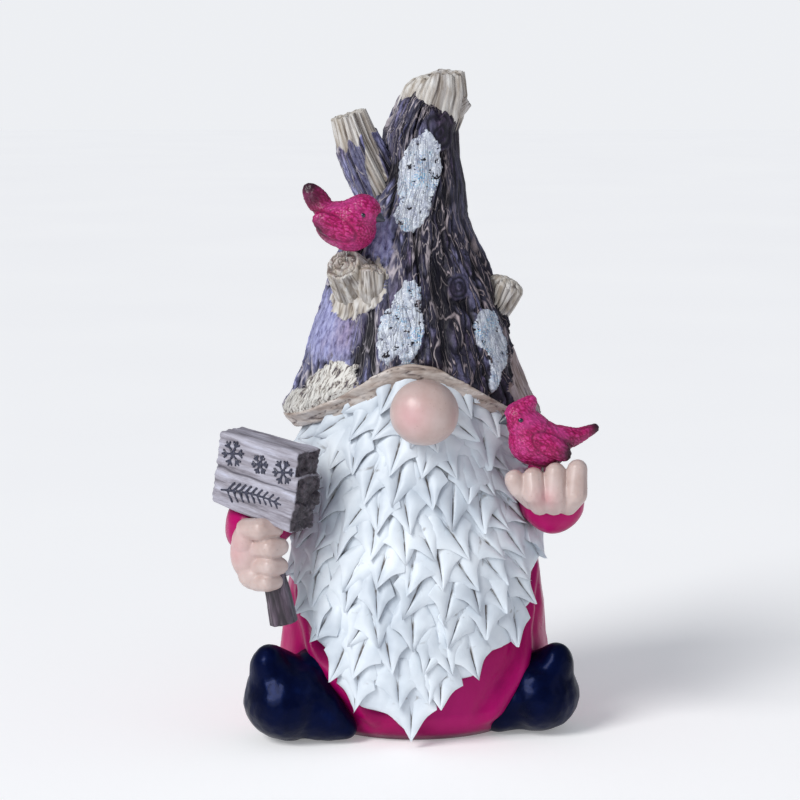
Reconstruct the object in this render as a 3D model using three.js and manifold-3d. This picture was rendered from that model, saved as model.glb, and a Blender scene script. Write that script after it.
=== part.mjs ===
// Garden gnome, cast in resin as separate pieces that plug together and are glued.
// A seated figure in a long coat wears a hollow tree trunk as its hat and has a beard of leaves. One hand
// holds a plank sign on a post, the other a crested bird, and a second bird stands on a stub of the trunk.
// Units are millimetres. +Z is up and the gnome faces -Y. The origin is the middle of the base's underside.

import * as THREE from 'three';
import { mergeVertices } from 'three/addons/utils/BufferGeometryUtils.js';
import Module from 'manifold-3d';

const wasm = await Module();
wasm.setup();

// Driving dimensions.
const GAP = 0.3; // glue gap left between two pieces that meet
const HAT_WALL = 6; // thickness of the hollow trunk's wall
const TRUNK_TOP = 228; // height where the bark ends and the bare core starts
const CROWN_FALL = 2.6; // how far the cut face of the bare core falls towards its left
const HOLLOW_TOP = 188; // where the hollow in the trunk ends
const BASE_THICK = 5; // thickness of the closing plate in the base
const PLUG_RADIUS = 8; // rubber plug in the filling hole
const PLUG_Y = 16; // filling hole's distance behind the origin
const NOSE_RADIUS = 12.3;
const PEG_RADIUS = 3; // pegs cast on the nose, the sleeves and the boots
const SMOOTHING = 0.08; // how far a surface may move when the slivers left by cutting are merged
const PIN_RADIUS = 0.6; // steel wire pins under the birds
const POST_RADIUS = 4.4;
const SIGN = { width: 38, height: 27, thick: 12, corner: 3, bite: 2, tilt: 12, turn: -35 };

// Sections up the coat and the head on top of it: [height, centre x, centre y, half width, half depth].
const COAT = [
  [0, 0, 0, 38, 35],
  [3, 0, 0, 43.5, 39.5],
  [10, 0, 0, 48.5, 42.5],
  [25, 0, 0, 50.5, 43.5],
  [45, 0, 0, 49.5, 42],
  [65, 0, 0, 46, 39.5],
  [85, 0, 0, 41.5, 36.5],
  [100, 0, 0, 37, 33],
  [110, 0, 0, 32, 29.5],
  [118, 0, 0, 27, 25.5],
  [128, 0, 0, 24, 23],
  [134, 0, 0, 16, 15],
];

// The hollow inside the coat, from the ledge that the base plate sits against.
const COAT_HOLLOW = [
  [BASE_THICK, 0, 0, 30, 27],
  [9, 0, 0, 34, 30],
  [16, 0, 0, 43, 36.5],
  [30, 0, 0, 45, 38],
  [50, 0, 0, 44, 36.5],
  [70, 0, 0, 40, 33.5],
  [90, 0, 0, 35, 30],
  [104, 0, 0, 28, 25],
  [112, 0, 0, 17, 15],
];

// Sections up the trunk, from its flared foot to the end of the bark.
const TRUNK = [
  [108, -1, 0, 50, 46],
  [118, -1, 0, 49, 45.5],
  [124, -0.5, -0.5, 45, 43.5],
  [134, -0.7, -1, 40.8, 41],
  [144, -1.4, -1.5, 37.8, 38],
  [156, -1, -1, 34.6, 34],
  [170, -2, -1, 29.5, 29],
  [180, -2, 0, 25, 25],
  [190, -1.5, 0, 21, 21.5],
  [202, 1.5, 0, 17, 18],
  [212, 2, 0, 14.4, 15.5],
  [222, 2.3, 0, 13.5, 13.5],
  [TRUNK_TOP, 4.5, 0, 13, 12.5],
];

// Sections up the bare core of the trunk, from its root inside the bark to its cut face.
const CROWN = [
  [212, 2, 0, 9, 8.6],
  [222, 3.6, 0, 10.6, 9.4],
  [230, 6.6, 0, 12, 9.8],
  [237, 8.6, 0, 10.2, 9],
  [245.5, 11.2, 0, 7.4, 7.4],
];

// Sections of the swelling that the leaves lie on, in front of the coat.
const BEARD = [
  [0, 0, 0, 46, 44],
  [6, 0, 0, 49.5, 47.5],
  [25, 0, 0, 54, 51.5],
  [45, 0, 0, 54, 52],
  [70, 0, 0, 51, 50],
  [92, 0, 0, 47, 47],
  [110, 0, 0, 43.5, 43],
  [130, 0, 0, 36, 38],
];

// Tips of the leaves along the beard's edge seen from the front, [x, z], from one cheek round to the other.
const BEARD_TIPS = [
  [-46, 112],
  [-50, 92],
  [-49.5, 74],
  [-48, 58],
  [-43.5, 46],
  [-37.5, 37.5],
  [-30, 24],
  [-21, 13.5],
  [-1.7, 3.3],
  [9, 15.5],
  [22, 26],
  [36, 36],
  [44, 50],
  [48, 66],
  [49, 84],
  [46, 112],
];
const TIP_DEPTH = 4; // how far the notch between two tips is cut in
const BEARD_BACK = -6; // the beard ends this far in front of the coat's sides

// Sections up a boot, from its sole to the tip of its toe, about its own middle.
const BOOT = [
  [0, -0.5, 1.5, 10.5, 13],
  [2.5, 0, 0.8, 15, 17],
  [8, 0.2, 0, 17.8, 19.5],
  [15, 0.5, -0.2, 17.8, 19],
  [21, 1.2, -0.8, 16, 16.8],
  [26, 2.5, -1.8, 12.6, 13.2],
  [30, 4.2, -3, 8.8, 9.2],
  [33.5, 6, -4.2, 5.2, 5.6],
  [36, 7.3, -5, 2.4, 2.6],
  [36.8, 7.6, -5.2, 0.8, 0.8],
];

const at = (x, y, z) => new THREE.Vector3(x, y, z);

// A manifold solid from a closed geometry, with its shared vertices merged.
function solid(geometry) {
  const loose = geometry.index ? geometry.toNonIndexed() : geometry;
  const bare = new THREE.BufferGeometry().setAttribute('position', loose.getAttribute('position'));
  const merged = mergeVertices(bare, 1e-4);
  const triVerts = new Uint32Array(merged.index.array);
  const vertProperties = merged.getAttribute('position').array;
  return new wasm.Manifold(new wasm.Mesh({ numProp: 3, vertProperties, triVerts }));
}

// A geometry from a manifold solid.
function geometryOf(body) {
  const mesh = body.getMesh();
  const positions = new Float32Array(mesh.numVert * 3);
  for (let i = 0; i < mesh.numVert; i++) {
    positions.set(mesh.vertProperties.subarray(i * mesh.numProp, i * mesh.numProp + 3), i * 3);
  }
  const geometry = new THREE.BufferGeometry();
  geometry.setAttribute('position', new THREE.BufferAttribute(positions, 3));
  geometry.setIndex(new THREE.BufferAttribute(new Uint32Array(mesh.triVerts), 1));
  geometry.computeVertexNormals();
  return geometry;
}

// The solid with its whole surface moved outwards by a distance.
function grown(body, distance = GAP) {
  const geometry = geometryOf(body);
  const place = geometry.getAttribute('position');
  const normal = geometry.getAttribute('normal');
  for (let i = 0; i < place.count; i++) {
    place.setXYZ(
      i,
      place.getX(i) + normal.getX(i) * distance,
      place.getY(i) + normal.getY(i) * distance,
      place.getZ(i) + normal.getZ(i) * distance,
    );
  }
  return solid(geometry);
}

// The body with room cut into it for its neighbours.
function clearOf(body, ...neighbours) {
  return neighbours.reduce((left, other) => left.subtract(grown(other)), body);
}

function joined(...bodies) {
  return bodies.reduce((sum, body) => sum.add(body));
}

// The biggest of the bodies that a cut leaves, with its smallest slivers merged.
function mainBody(body) {
  const bodies = body.decompose();
  const main = bodies.reduce((best, next) => (next.volume() > best.volume() ? next : best));
  return main.simplify(SMOOTHING);
}

// A row of the table at any height, by straight interpolation.
function sectionAt(table, z) {
  const last = table.length - 1;
  const above = table.findIndex((row) => row[0] >= z);
  const high = above < 0 ? last : Math.max(above, 1);
  const [a, b] = [table[high - 1], table[high]];
  const share = THREE.MathUtils.clamp((z - a[0]) / (b[0] - a[0]), 0, 1);
  return a.map((value, i) => THREE.MathUtils.lerp(value, b[i], share));
}

// A solid whose skin is placed by skin(level, angle), which gives [height, x, y, half width, half depth].
// Level runs from 0 at the bottom to 1 at the top, and angle is counted from the front towards +X.
function turned(levels, sides, skin) {
  const geometry = new THREE.CylinderGeometry(1, 1, 1, sides, levels);
  const place = geometry.getAttribute('position');
  for (let i = 0; i < place.count; i++) {
    const [across, level, ahead] = [place.getX(i), place.getY(i) + 0.5, place.getZ(i)];
    const [z, x, y, halfWidth, halfDepth] = skin(level, Math.atan2(across, ahead));
    place.setXYZ(i, x + halfWidth * across, y - halfDepth * ahead, z);
  }
  return solid(geometry);
}

// A solid with one ring of corners at each row of the table.
function stacked(table, sides = 32) {
  const levels = table.length - 1;
  return turned(levels, sides, (level) => table[Math.round(level * levels)]);
}

function ellipsoid(centre, radii, tilt = 0, detail = 14) {
  const geometry = new THREE.SphereGeometry(1, detail, Math.round(detail * 0.7));
  geometry.scale(...radii);
  geometry.rotateY(tilt);
  geometry.translate(...centre);
  return solid(geometry);
}

// A round rod between two points, which may taper.
function rod(from, to, startRadius, endRadius = startRadius, sides = 16) {
  const along = to.clone().sub(from);
  const geometry = new THREE.CylinderGeometry(endRadius, startRadius, along.length(), sides);
  geometry.applyQuaternion(new THREE.Quaternion().setFromUnitVectors(at(0, 1, 0), along.normalize()));
  geometry.translate(...from.clone().add(to).multiplyScalar(0.5));
  return solid(geometry);
}

// A rod with round ends, such as a finger.
function sausage(from, to, radius, endRadius = radius) {
  const ends = [
    ellipsoid(from, [radius, radius, radius], 0, 8),
    ellipsoid(to, [endRadius, endRadius, endRadius], 0, 8),
  ];
  return joined(rod(from, to, radius, endRadius, 8), ...ends);
}

// A flat outline in X and Z, made thick from one y to a lower one.
function slab(points, y, depth) {
  const shape = new THREE.Shape(points.map(([x, z]) => new THREE.Vector2(x, z)));
  const geometry = new THREE.ExtrudeGeometry(shape, { depth, bevelEnabled: false });
  geometry.rotateX(Math.PI / 2);
  geometry.translate(0, y, 0);
  return solid(geometry);
}

// How far towards the front an angle is, from 1 in front to 0 behind.
const frontness = (angle) => (1 + Math.cos(angle)) / 2;

// The wavy lower edge of the brim, and the edge where its bare wood meets the bark.
const brimFoot = (angle) => 110 + 16 * frontness(angle) ** 4;
const barkFoot = (angle) => 117 + 23.5 * frontness(angle) ** 7;

function makeTrunk() {
  const rings = 10;
  return turned(rings, 32, (level, angle) => {
    const z = THREE.MathUtils.lerp(barkFoot(angle), TRUNK_TOP, level);
    return [z, ...sectionAt(TRUNK, z).slice(1)];
  });
}

// The hollow follows the trunk's outside at the wall's thickness and ends in a blunt tip.
function makeTrunkHollow() {
  const foot = 104;
  return turned(6, 24, (level) => {
    const z = THREE.MathUtils.lerp(foot, HOLLOW_TOP, level);
    const [, x, y, halfWidth, halfDepth] = sectionAt(TRUNK, Math.max(z, 118));
    return [z, x, y, halfWidth - HAT_WALL, halfDepth - HAT_WALL];
  });
}

// Bare wood under the bark: a ring that fills the hat's mouth and leans inwards towards its lower edge.
function makeBrim() {
  const lean = 5;
  return turned(1, 32, (level, angle) => {
    const edge = barkFoot(angle) - GAP;
    const [, x, y, halfWidth, halfDepth] = sectionAt(TRUNK, edge);
    const inset = lean * (1 - level);
    return [level < 0.5 ? brimFoot(angle) : edge, x, y, halfWidth - inset, halfDepth - inset];
  });
}

function makeCoat() {
  const pocket = rod(at(0, 0, -1), at(0, 0, BASE_THICK + GAP), 1, 1, 36).scale([34.3, 31.3, 1]);
  return stacked(COAT).subtract(stacked(COAT_HOLLOW, 24)).subtract(pocket);
}

function makeBasePlate() {
  const disc = rod(at(0, 0, 0), at(0, 0, BASE_THICK - GAP), 1, 1, 36).scale([34, 31, 1]);
  const hole = rod(at(0, PLUG_Y, -1), at(0, PLUG_Y, BASE_THICK + 1), PLUG_RADIUS + GAP, PLUG_RADIUS + GAP, 24);
  return disc.subtract(hole);
}

// A stepped plug: its flange is sunk in the plate's thickness and its grooved neck goes through.
function makePlug() {
  const profile = [
    [0, 0.8],
    [PLUG_RADIUS, 0.8],
    [PLUG_RADIUS, 3],
    [PLUG_RADIUS - 0.8, 3.6],
    [PLUG_RADIUS, 4.4],
    [PLUG_RADIUS - 1.2, 7],
    [0, 7],
  ].map(([r, z]) => new THREE.Vector2(r, z));
  const geometry = new THREE.LatheGeometry(profile, 24);
  geometry.rotateX(Math.PI / 2);
  geometry.translate(0, PLUG_Y, 0);
  return solid(geometry);
}

// The outline runs from tip to tip with a notch between, and is closed across the top behind the brim.
function beardOutline() {
  const heart = new THREE.Vector2(0, 75);
  const corners = BEARD_TIPS.map(([x, z]) => new THREE.Vector2(x, z));
  const outline = corners.flatMap((tip, i) => {
    if (i === corners.length - 1) return [tip];
    const between = tip.clone().lerp(corners[i + 1], 0.5);
    const inwards = heart.clone().sub(between).setLength(TIP_DEPTH);
    return [tip, between.add(inwards)];
  });
  return [[-30, 128], ...outline.map((p) => [p.x, p.y]), [30, 128]];
}

function makeBeard() {
  const reach = 70;
  return stacked(BEARD).intersect(slab(beardOutline(), BEARD_BACK, reach));
}

const NOSE = at(3, -49.5, 123.6);

function makeNose() {
  const ball = ellipsoid(NOSE, [NOSE_RADIUS, NOSE_RADIUS, NOSE_RADIUS * 0.95], 0, 18);
  return ball.add(rod(NOSE, at(2, -14, 122), PEG_RADIUS));
}

// The bare core of the trunk: a plug in the bark's top that ends in a slanting cut face.
function makeCrown() {
  const levels = CROWN.length - 1;
  return turned(levels, 20, (level, angle) => {
    const [z, ...place] = CROWN[Math.round(level * levels)];
    const fall = level === 1 ? (CROWN_FALL * (1 - Math.cos(angle - Math.PI / 2))) / 2 : 0;
    return [z - fall, ...place];
  });
}

function makeLeftBranch() {
  const lower = rod(at(-11, -2, 196), at(-20, -4.5, 216), 8, 8.6);
  const upper = rod(at(-20, -4.5, 214), at(-25, -6, 229), 8.2, 6.3);
  return joined(lower, upper);
}

// A short stub that points out to the front left, with its cut end facing up and forwards.
function makePerchStub() {
  return rod(at(-18, -13.5, 162.5), at(-26.5, -28, 174.5), 12, 6.6);
}

function makeRightStub() {
  const stem = rod(at(26.5, -4.5, 154), at(33.5, -5, 161.5), 6.5, 5.2);
  return joined(stem, ellipsoid(at(34, -5, 162.5), [5.4, 6, 6], 0, 12));
}

// A plump sleeve: a short arm that comes forward from the coat's side and ends in a round cuff.
function makeSleeve(shoulder, cuff, radius) {
  return joined(rod(shoulder, cuff, radius * 0.9, radius, 16), ellipsoid(cuff, [radius, radius * 0.8, radius], 0, 16));
}

// The fist round the post: the back of the hand, four stacked fingers and a heel below them.
function makeSignHand() {
  const back = ellipsoid(at(-58, -42, 73), [10, 9, 13.5], -0.15);
  const fingers = [84.5, 77.3, 70, 63.6].map((z, i) => {
    const tipX = [-48, -46.4, -46.2, -48.6][i];
    return sausage(at(-58.5, -47, z - 0.6), at(tipX - 2, -51.5, z), 4.4, 3.7);
  });
  return joined(back, ...fingers);
}

function makePost() {
  return rod(at(-47.4, -46, 46.5), at(-56.6, -45.6, 93), POST_RADIUS * 1.06, POST_RADIUS * 0.9);
}

// Two planks side by side with a broken end: rounded corners at one end and a zigzag at the other.
function makeSignBoard() {
  const { width, height, thick, corner, bite, tilt, turn } = SIGN;
  const [halfWidth, halfHeight] = [width / 2, height / 2];
  const shape = new THREE.Shape();
  shape.moveTo(-halfWidth + corner, -halfHeight);
  shape.lineTo(halfWidth - bite, -halfHeight - 1);
  shape.lineTo(halfWidth, -halfHeight * 0.45);
  shape.lineTo(halfWidth - bite, -0.5);
  shape.lineTo(halfWidth - bite * 0.4, halfHeight * 0.4);
  shape.lineTo(halfWidth - bite * 1.3, halfHeight + 0.6);
  shape.lineTo(-halfWidth + corner, halfHeight);
  shape.quadraticCurveTo(-halfWidth, halfHeight, -halfWidth, halfHeight - corner);
  shape.lineTo(-halfWidth, -halfHeight + corner);
  shape.quadraticCurveTo(-halfWidth, -halfHeight, -halfWidth + corner, -halfHeight);
  const geometry = new THREE.ExtrudeGeometry(shape, { depth: thick, bevelEnabled: false, curveSegments: 4 });
  geometry.translate(0, 0, -thick / 2);
  geometry.rotateX(Math.PI / 2);
  geometry.rotateY(THREE.MathUtils.degToRad(tilt));
  geometry.rotateZ(THREE.MathUtils.degToRad(turn));
  geometry.translate(-55.4, -43.5, 99.5);
  return solid(geometry);
}

// The open hand: a cupped palm, three fingers that curl up in front of it and a thumb at the side.
function makeBirdHand() {
  const palm = ellipsoid(at(49.5, -40, 94), [12.5, 10.5, 6.8]);
  const fingers = [
    [42.2, 99.6, 4.4],
    [50.2, 100.6, 4.5],
    [58, 102.2, 4.2],
  ].map(([x, top, radius]) => sausage(at(x - 0.8, -46.5, 93), at(x, -48, top), radius, radius * 0.92));
  const thumb = sausage(at(39, -44, 95), at(35.2, -46.5, 98.4), 4.2, 3.9);
  return joined(palm, ...fingers, thumb);
}

// A boot stood on its heel: it swells above the ground and narrows to a toe that points up and outwards.
function makeBoot(side, centre, size) {
  const sections = BOOT.map(([z, x, y, halfWidth, halfDepth]) => [
    z,
    centre.x + side * x,
    centre.y + y,
    halfWidth * size,
    halfDepth * size,
  ]);
  return stacked(sections, 22);
}

// A small bird facing +X or -X by the sign of facing: body, head, fanned tail, beak and, on one, a crest.
function makeBird({ body, radii, tilt, head, headRadius, beak, tailRoot, tail, crest }) {
    const parts = [
    ellipsoid(body, radii, tilt, 14),
    ellipsoid(head, [headRadius, headRadius * 0.95, headRadius], 0, 12),
    rod(head, beak, 3.4, 0.5, 8),
    rod(tailRoot, tail, 4, 2.4, 8),
    ellipsoid(tail, [2.6, 2.6, 2.6], 0, 8),
  ];
  if (crest) parts.push(rod(head, crest, headRadius * 0.7, 1, 8));
  return joined(...parts);
}

function makePerchBird() {
  return makeBird({
    body: at(-26, -28, 188.8),
    radii: [12.4, 8.8, 9],
    tilt: 0.32,
    head: at(-18.8, -29.5, 194.2),
    headRadius: 6.6,
    beak: at(-12, -30.5, 191.8),
    tailRoot: at(-31, -27, 192),
    tail: at(-37.2, -26, 201),
  });
}

function makeCrestedBird() {
  return makeBird({
    body: at(45.5, -40, 111.5),
    radii: [12, 8.6, 8.6],
    tilt: 0.42,
    head: at(37, -41.5, 120.8),
    headRadius: 5.8,
    beak: at(29.6, -42.5, 119.8),
    tailRoot: at(53, -39, 111.5),
    tail: at(63.5, -37.6, 115.4),
    crest: at(41.5, -41, 128.3),
  });
}

// Materials of the painted resin, the rubber and the steel.
const paint = (color, roughness, metalness = 0) => new THREE.MeshStandardMaterial({ color, roughness, metalness });
const MATERIALS = {
  coat: paint(0x9c1148, 0.32),
  bark: paint(0x4c4566, 0.7),
  wood: paint(0xb3a794, 0.65),
  leaf: paint(0xdfe6ea, 0.55),
  skin: paint(0xd9b4a8, 0.4),
  boot: paint(0x0a1330, 0.25),
  bird: paint(0xa61450, 0.35),
  sign: paint(0xa9a6b8, 0.7),
  post: paint(0x544a63, 0.6),
  resin: paint(0xcfc8bd, 0.8),
  rubber: paint(0x2a2a2c, 0.85),
  steel: paint(0x9a9a9a, 0.35, 1),
};

// The pieces before room is cut in them for each other.
const trunk = makeTrunk();
const brim = makeBrim();
const coat = makeCoat();
const coatOutside = stacked(COAT);
const nose = makeNose();
const crown = makeCrown();
const leftBranch = makeLeftBranch();
const perchStub = makePerchStub();
const rightStub = makeRightStub();
const signSleeve = makeSleeve(at(-40, -4, 88), at(-57.5, -32, 79.5), 11);
const birdSleeve = makeSleeve(at(40, -3, 92), at(49.5, -30, 88.5), 11.5);
const signHand = makeSignHand();
const birdHand = makeBirdHand();
const post = makePost();
const board = makeSignBoard();
const leftBoot = makeBoot(-1, at(-45.5, -33, 0), 1);
const rightBoot = makeBoot(1, at(44.5, -21, 0), 0.94);
const leftBootPeg = rod(at(-44, -30, 16), at(-33, -21.5, 16), PEG_RADIUS);
const rightBootPeg = rod(at(49, -22, 16), at(38, -15, 16), PEG_RADIUS);
const signArmPeg = rod(at(-50, -20, 82), at(-33, -5, 86), PEG_RADIUS);
const birdArmPeg = rod(at(47, -20, 89), at(32, -4, 90), PEG_RADIUS);
const perchBird = makePerchBird();
const crestedBird = makeCrestedBird();
const perchPin = rod(at(-24.4, -26.5, 166), at(-25.2, -27.5, 187), PIN_RADIUS, PIN_RADIUS, 10);
const crestedPin = rod(at(46, -40, 91), at(45.4, -40, 109), PIN_RADIUS, PIN_RADIUS, 10);

const signHandFit = clearOf(signHand, signSleeve, post, board);
const birdHandFit = clearOf(birdHand, birdSleeve, crestedBird, crestedPin);
const beardFit = clearOf(
  makeBeard(),
  coatOutside,
  brim,
  nose,
  signSleeve,
  birdSleeve,
  signHandFit,
  birdHandFit,
  post,
  board,
  crestedBird,
  leftBoot,
  rightBoot,
);

const PIECES = {
  coat_body: [clearOf(coat, nose, leftBootPeg, rightBootPeg, signArmPeg, birdArmPeg), MATERIALS.coat],
  base_plate: [makeBasePlate(), MATERIALS.resin],
  filler_plug: [makePlug(), MATERIALS.rubber],
  beard: [beardFit, MATERIALS.leaf],
  nose: [nose, MATERIALS.skin],
  brim_lip: [clearOf(brim, coatOutside, nose), MATERIALS.wood],
  hat_trunk: [
    clearOf(trunk.subtract(makeTrunkHollow()), coatOutside, crown, leftBranch, perchStub, rightStub, nose),
    MATERIALS.bark,
  ],
  bare_crown: [crown, MATERIALS.wood],
  left_branch: [clearOf(leftBranch, crown), MATERIALS.bark],
  perch_stub: [clearOf(perchStub, perchPin, perchBird), MATERIALS.wood],
  right_stub: [rightStub, MATERIALS.wood],
  sign_sleeve: [joined(clearOf(signSleeve, coatOutside, board), signArmPeg), MATERIALS.coat],
  sign_hand: [signHandFit, MATERIALS.skin],
  sign_post: [post, MATERIALS.post],
  sign_board: [clearOf(board, post), MATERIALS.sign],
  bird_sleeve: [joined(clearOf(birdSleeve, coatOutside), birdArmPeg), MATERIALS.coat],
  bird_hand: [birdHandFit, MATERIALS.skin],
  left_boot: [joined(clearOf(leftBoot, coatOutside), leftBootPeg), MATERIALS.boot],
  right_boot: [joined(clearOf(rightBoot, coatOutside), rightBootPeg), MATERIALS.boot],
  perch_bird: [clearOf(perchBird, perchPin, trunk), MATERIALS.bird],
  perch_bird_pin: [perchPin, MATERIALS.steel],
  crested_bird: [clearOf(crestedBird, crestedPin), MATERIALS.bird],
  crested_bird_pin: [crestedPin, MATERIALS.steel],
};

const gnome = new THREE.Group();
for (const [name, [body, material]] of Object.entries(PIECES)) {
  const mesh = new THREE.Mesh(geometryOf(mainBody(body)), material);
  mesh.name = name;
  gnome.add(mesh);
}

export default gnome;
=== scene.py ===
"""The looks of a cast resin garden gnome: sculpted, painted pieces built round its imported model.

Shapes are drawn in millimetres, with +Z up and the gnome facing -Y. A finished piece is in metres.
"""
import math
import random

import bmesh
import bpy
from mathutils import Matrix, Vector, noise


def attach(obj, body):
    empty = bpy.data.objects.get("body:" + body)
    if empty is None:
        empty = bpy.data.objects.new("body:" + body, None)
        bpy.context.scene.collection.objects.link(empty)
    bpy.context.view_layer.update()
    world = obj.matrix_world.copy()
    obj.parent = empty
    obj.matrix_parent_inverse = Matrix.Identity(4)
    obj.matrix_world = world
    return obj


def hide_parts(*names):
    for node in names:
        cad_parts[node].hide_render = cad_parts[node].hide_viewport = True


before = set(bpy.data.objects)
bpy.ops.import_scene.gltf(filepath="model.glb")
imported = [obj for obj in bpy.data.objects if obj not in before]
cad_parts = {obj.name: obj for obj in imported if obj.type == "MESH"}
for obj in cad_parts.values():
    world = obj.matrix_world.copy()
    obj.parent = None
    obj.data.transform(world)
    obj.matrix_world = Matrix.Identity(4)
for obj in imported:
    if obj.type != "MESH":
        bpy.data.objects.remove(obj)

MM = 0.001
UP = Vector((0, 0, 1))
SMALL_BALL = 5  # a ball with a smaller radius than this has fewer faces
# Millimetres between the corners of each skin that is melted from lumps.
VOXEL = {
    "sleeve": 0.8,
    "boot": 0.75,
    "beard": 1.5,
    "lip": 0.75,
    "nose": 0.6,
    "hand": 0.4,
    "board": 0.42,
    "motif": 0.22,
    "bird": 0.32,
    "beak": 0.2,
    "wire": 0.14,
}
BOARD_TURN = math.radians(-35)
BOARD_SLOPE = math.radians(10)
POST_LEAN = math.radians(-11)
SCAR_LEAN = math.radians(37)
RUN_RISE = 0.13  # how fast the bark's pattern changes up the trunk, against round it
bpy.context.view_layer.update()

# Sections up the main shapes: height, centre x, centre y, half width, half depth.
COAT = [
    (0, 0, 0, 38, 35),
    (3, 0, 0, 43.5, 39.5),
    (10, 0, 0, 48.5, 42.5),
    (25, 0, 0, 50.5, 43.5),
    (45, 0, 0, 49.5, 42),
    (65, 0, 0, 46, 39.5),
    (85, 0, 0, 41.5, 36.5),
    (100, 0, 0, 37, 33),
    (110, 0, 0, 32, 29.5),
    (122, 0, 0, 27, 25.5),
]
BEARD = [
    (0, 0, 0, 46, 44),
    (6, 0, 0, 49.5, 47.5),
    (25, 0, 0, 54, 51.5),
    (45, 0, 0, 54, 52),
    (70, 0, 0, 51, 50),
    (92, 0, 0, 47, 47),
    (110, 0, 0, 43.5, 43),
    (130, 0, 0, 36, 38),
]
TRUNK = [
    (108, -1, 0, 50, 46),
    (118, -1, 0, 49, 45.5),
    (124, -0.5, -0.5, 45, 43.5),
    (134, -0.7, -1, 40.8, 41),
    (144, -1.4, -1.5, 37.8, 38),
    (156, -1, -1, 34.6, 34),
    (170, -2, -1, 29.5, 29),
    (180, -2, 0, 25, 25),
    (190, -1.5, 0, 21, 21.5),
    (202, 1.5, 0, 17, 18),
    (212, 2, 0, 14.4, 15.5),
    (222, 2.3, 0, 13.5, 13.5),
    (228, 4.5, 0, 13, 12.5),
    (238, 7.4, 0, 11.2, 10.6),
]


# ------------------------------------------------------------------------------
# Shape tools
# ------------------------------------------------------------------------------


def smooth(low, high, value):
    """0 below low, 1 above high, and an even curve between."""
    share = min(max((value - low) / (high - low), 0.0), 1.0)
    return share * share * (3 - 2 * share)


def blend(a, b, share):
    return a + (b - a) * share


def hump(away, width):
    """1 in the middle, falling evenly to 0 on both sides."""
    return math.exp(-((away / width) ** 2))


def crack(place, width, start=0.0):
    """1 along thin lines that wander through the material, 0 beside them."""
    return 1 - smooth(start, width, abs(noise.noise(place)))


def section_at(table, z):
    """A table's columns after the first, which is height, at any height between its rows."""
    for lower, upper in zip(table, table[1:]):
        if z <= upper[0]:
            break
    share = min(max((z - lower[0]) / (upper[0] - lower[0]), 0.0), 1.0)
    return [blend(a, b, share) for a, b in zip(lower[1:], upper[1:])]


def skin_at(table, angle, z):
    """A point on a stack's skin and the way out of it. Angle 0 is the front, and it grows towards +X."""
    x, y, wide, deep = section_at(table, z)
    wide_above, deep_above = section_at(table, z + 1)[2:]
    across, ahead = math.sin(angle), math.cos(angle)
    rise = (wide - wide_above) * across * across + (deep - deep_above) * ahead * ahead
    out = Vector((across / wide, -ahead / deep, 0)).normalized()
    out = (out + UP * rise).normalized()
    return Vector((x + wide * across, y - deep * ahead, z)), out


def rolled_sheet(around, up, layer_names=()):
    """A fine sheet, its layers, and each corner with its turn round and its level up, both from 0 to 1."""
    sheet = bmesh.new()
    layers = [sheet.verts.layers.float.new(name) for name in layer_names]
    bmesh.ops.create_grid(sheet, x_segments=around, y_segments=up, size=0.5)
    places = [(corner, corner.co.x + 0.5, corner.co.y + 0.5) for corner in sheet.verts]
    return sheet, layers, places


def close_shell(shape, seam=0.002):
    """Joins the sheet's seam, fills its open ends and turns its faces outwards."""
    bmesh.ops.remove_doubles(shape, verts=shape.verts, dist=seam)
    open_edges = [edge for edge in shape.edges if edge.is_boundary]
    bmesh.ops.holes_fill(shape, edges=open_edges, sides=0)
    bmesh.ops.recalc_face_normals(shape, faces=shape.faces)
    return shape


def ball(shape, centre, radii, turn=0.0, detail=3):
    """Adds a round lump, longer on some axes than others, turned about Y."""
    place = Matrix.Translation(centre) @ Matrix.Rotation(turn, 4, "Y") @ Matrix.Diagonal((*radii, 1))
    bmesh.ops.create_icosphere(shape, subdivisions=detail, radius=1, matrix=place)


def chain(shape, points, radii, links=7):
    """Adds a row of balls that will melt into one finger, arm or tail."""
    for (start, end), (thick, thin) in zip(zip(points, points[1:]), zip(radii, radii[1:])):
        for link in range(links + 1):
            share = link / links
            radius = blend(thick, thin, share)
            detail = 2 if radius < SMALL_BALL else 3
            ball(shape, Vector(start).lerp(Vector(end), share), (radius,) * 3, detail=detail)


def melted(shape, voxel, rounds=3):
    """The lumps run together into one even skin, then smoothed."""
    mesh = bpy.data.meshes.new("lump")
    shape.to_mesh(mesh)
    shape.free()
    lump = bpy.data.objects.new("lump", mesh)
    bpy.context.scene.collection.objects.link(lump)
    skin = lump.modifiers.new("skin", "REMESH")
    skin.mode = "VOXEL"
    skin.voxel_size = voxel
    graph = bpy.context.evaluated_depsgraph_get()
    even = bpy.data.meshes.new_from_object(lump.evaluated_get(graph))
    bpy.data.objects.remove(lump)
    bpy.data.meshes.remove(mesh)
    result = bmesh.new()
    result.from_mesh(even)
    bpy.data.meshes.remove(even)
    for _ in range(rounds):
        axes = {"use_axis_x": True, "use_axis_y": True, "use_axis_z": True}
        bmesh.ops.smooth_vert(result, verts=result.verts, factor=0.5, **axes)
    result.normal_update()
    return result


def without_crumbs(shape):
    """Keeps only the largest of the separate lumps in a shape."""
    left = set(shape.verts)
    lumps = []
    while left:
        lump = []
        waiting = [left.pop()]
        while waiting:
            corner = waiting.pop()
            lump.append(corner)
            beside = {edge.other_vert(corner) for edge in corner.link_edges} & left
            left -= beside
            waiting += beside
        lumps.append(lump)
    lumps.sort(key=len)
    crumbs = [corner for lump in lumps[:-1] for corner in lump]
    bmesh.ops.delete(shape, geom=crumbs, context="VERTS")
    return shape


def once(items):
    """Each item one time, in the order in which it was met."""
    return list(dict.fromkeys(items))


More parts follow.
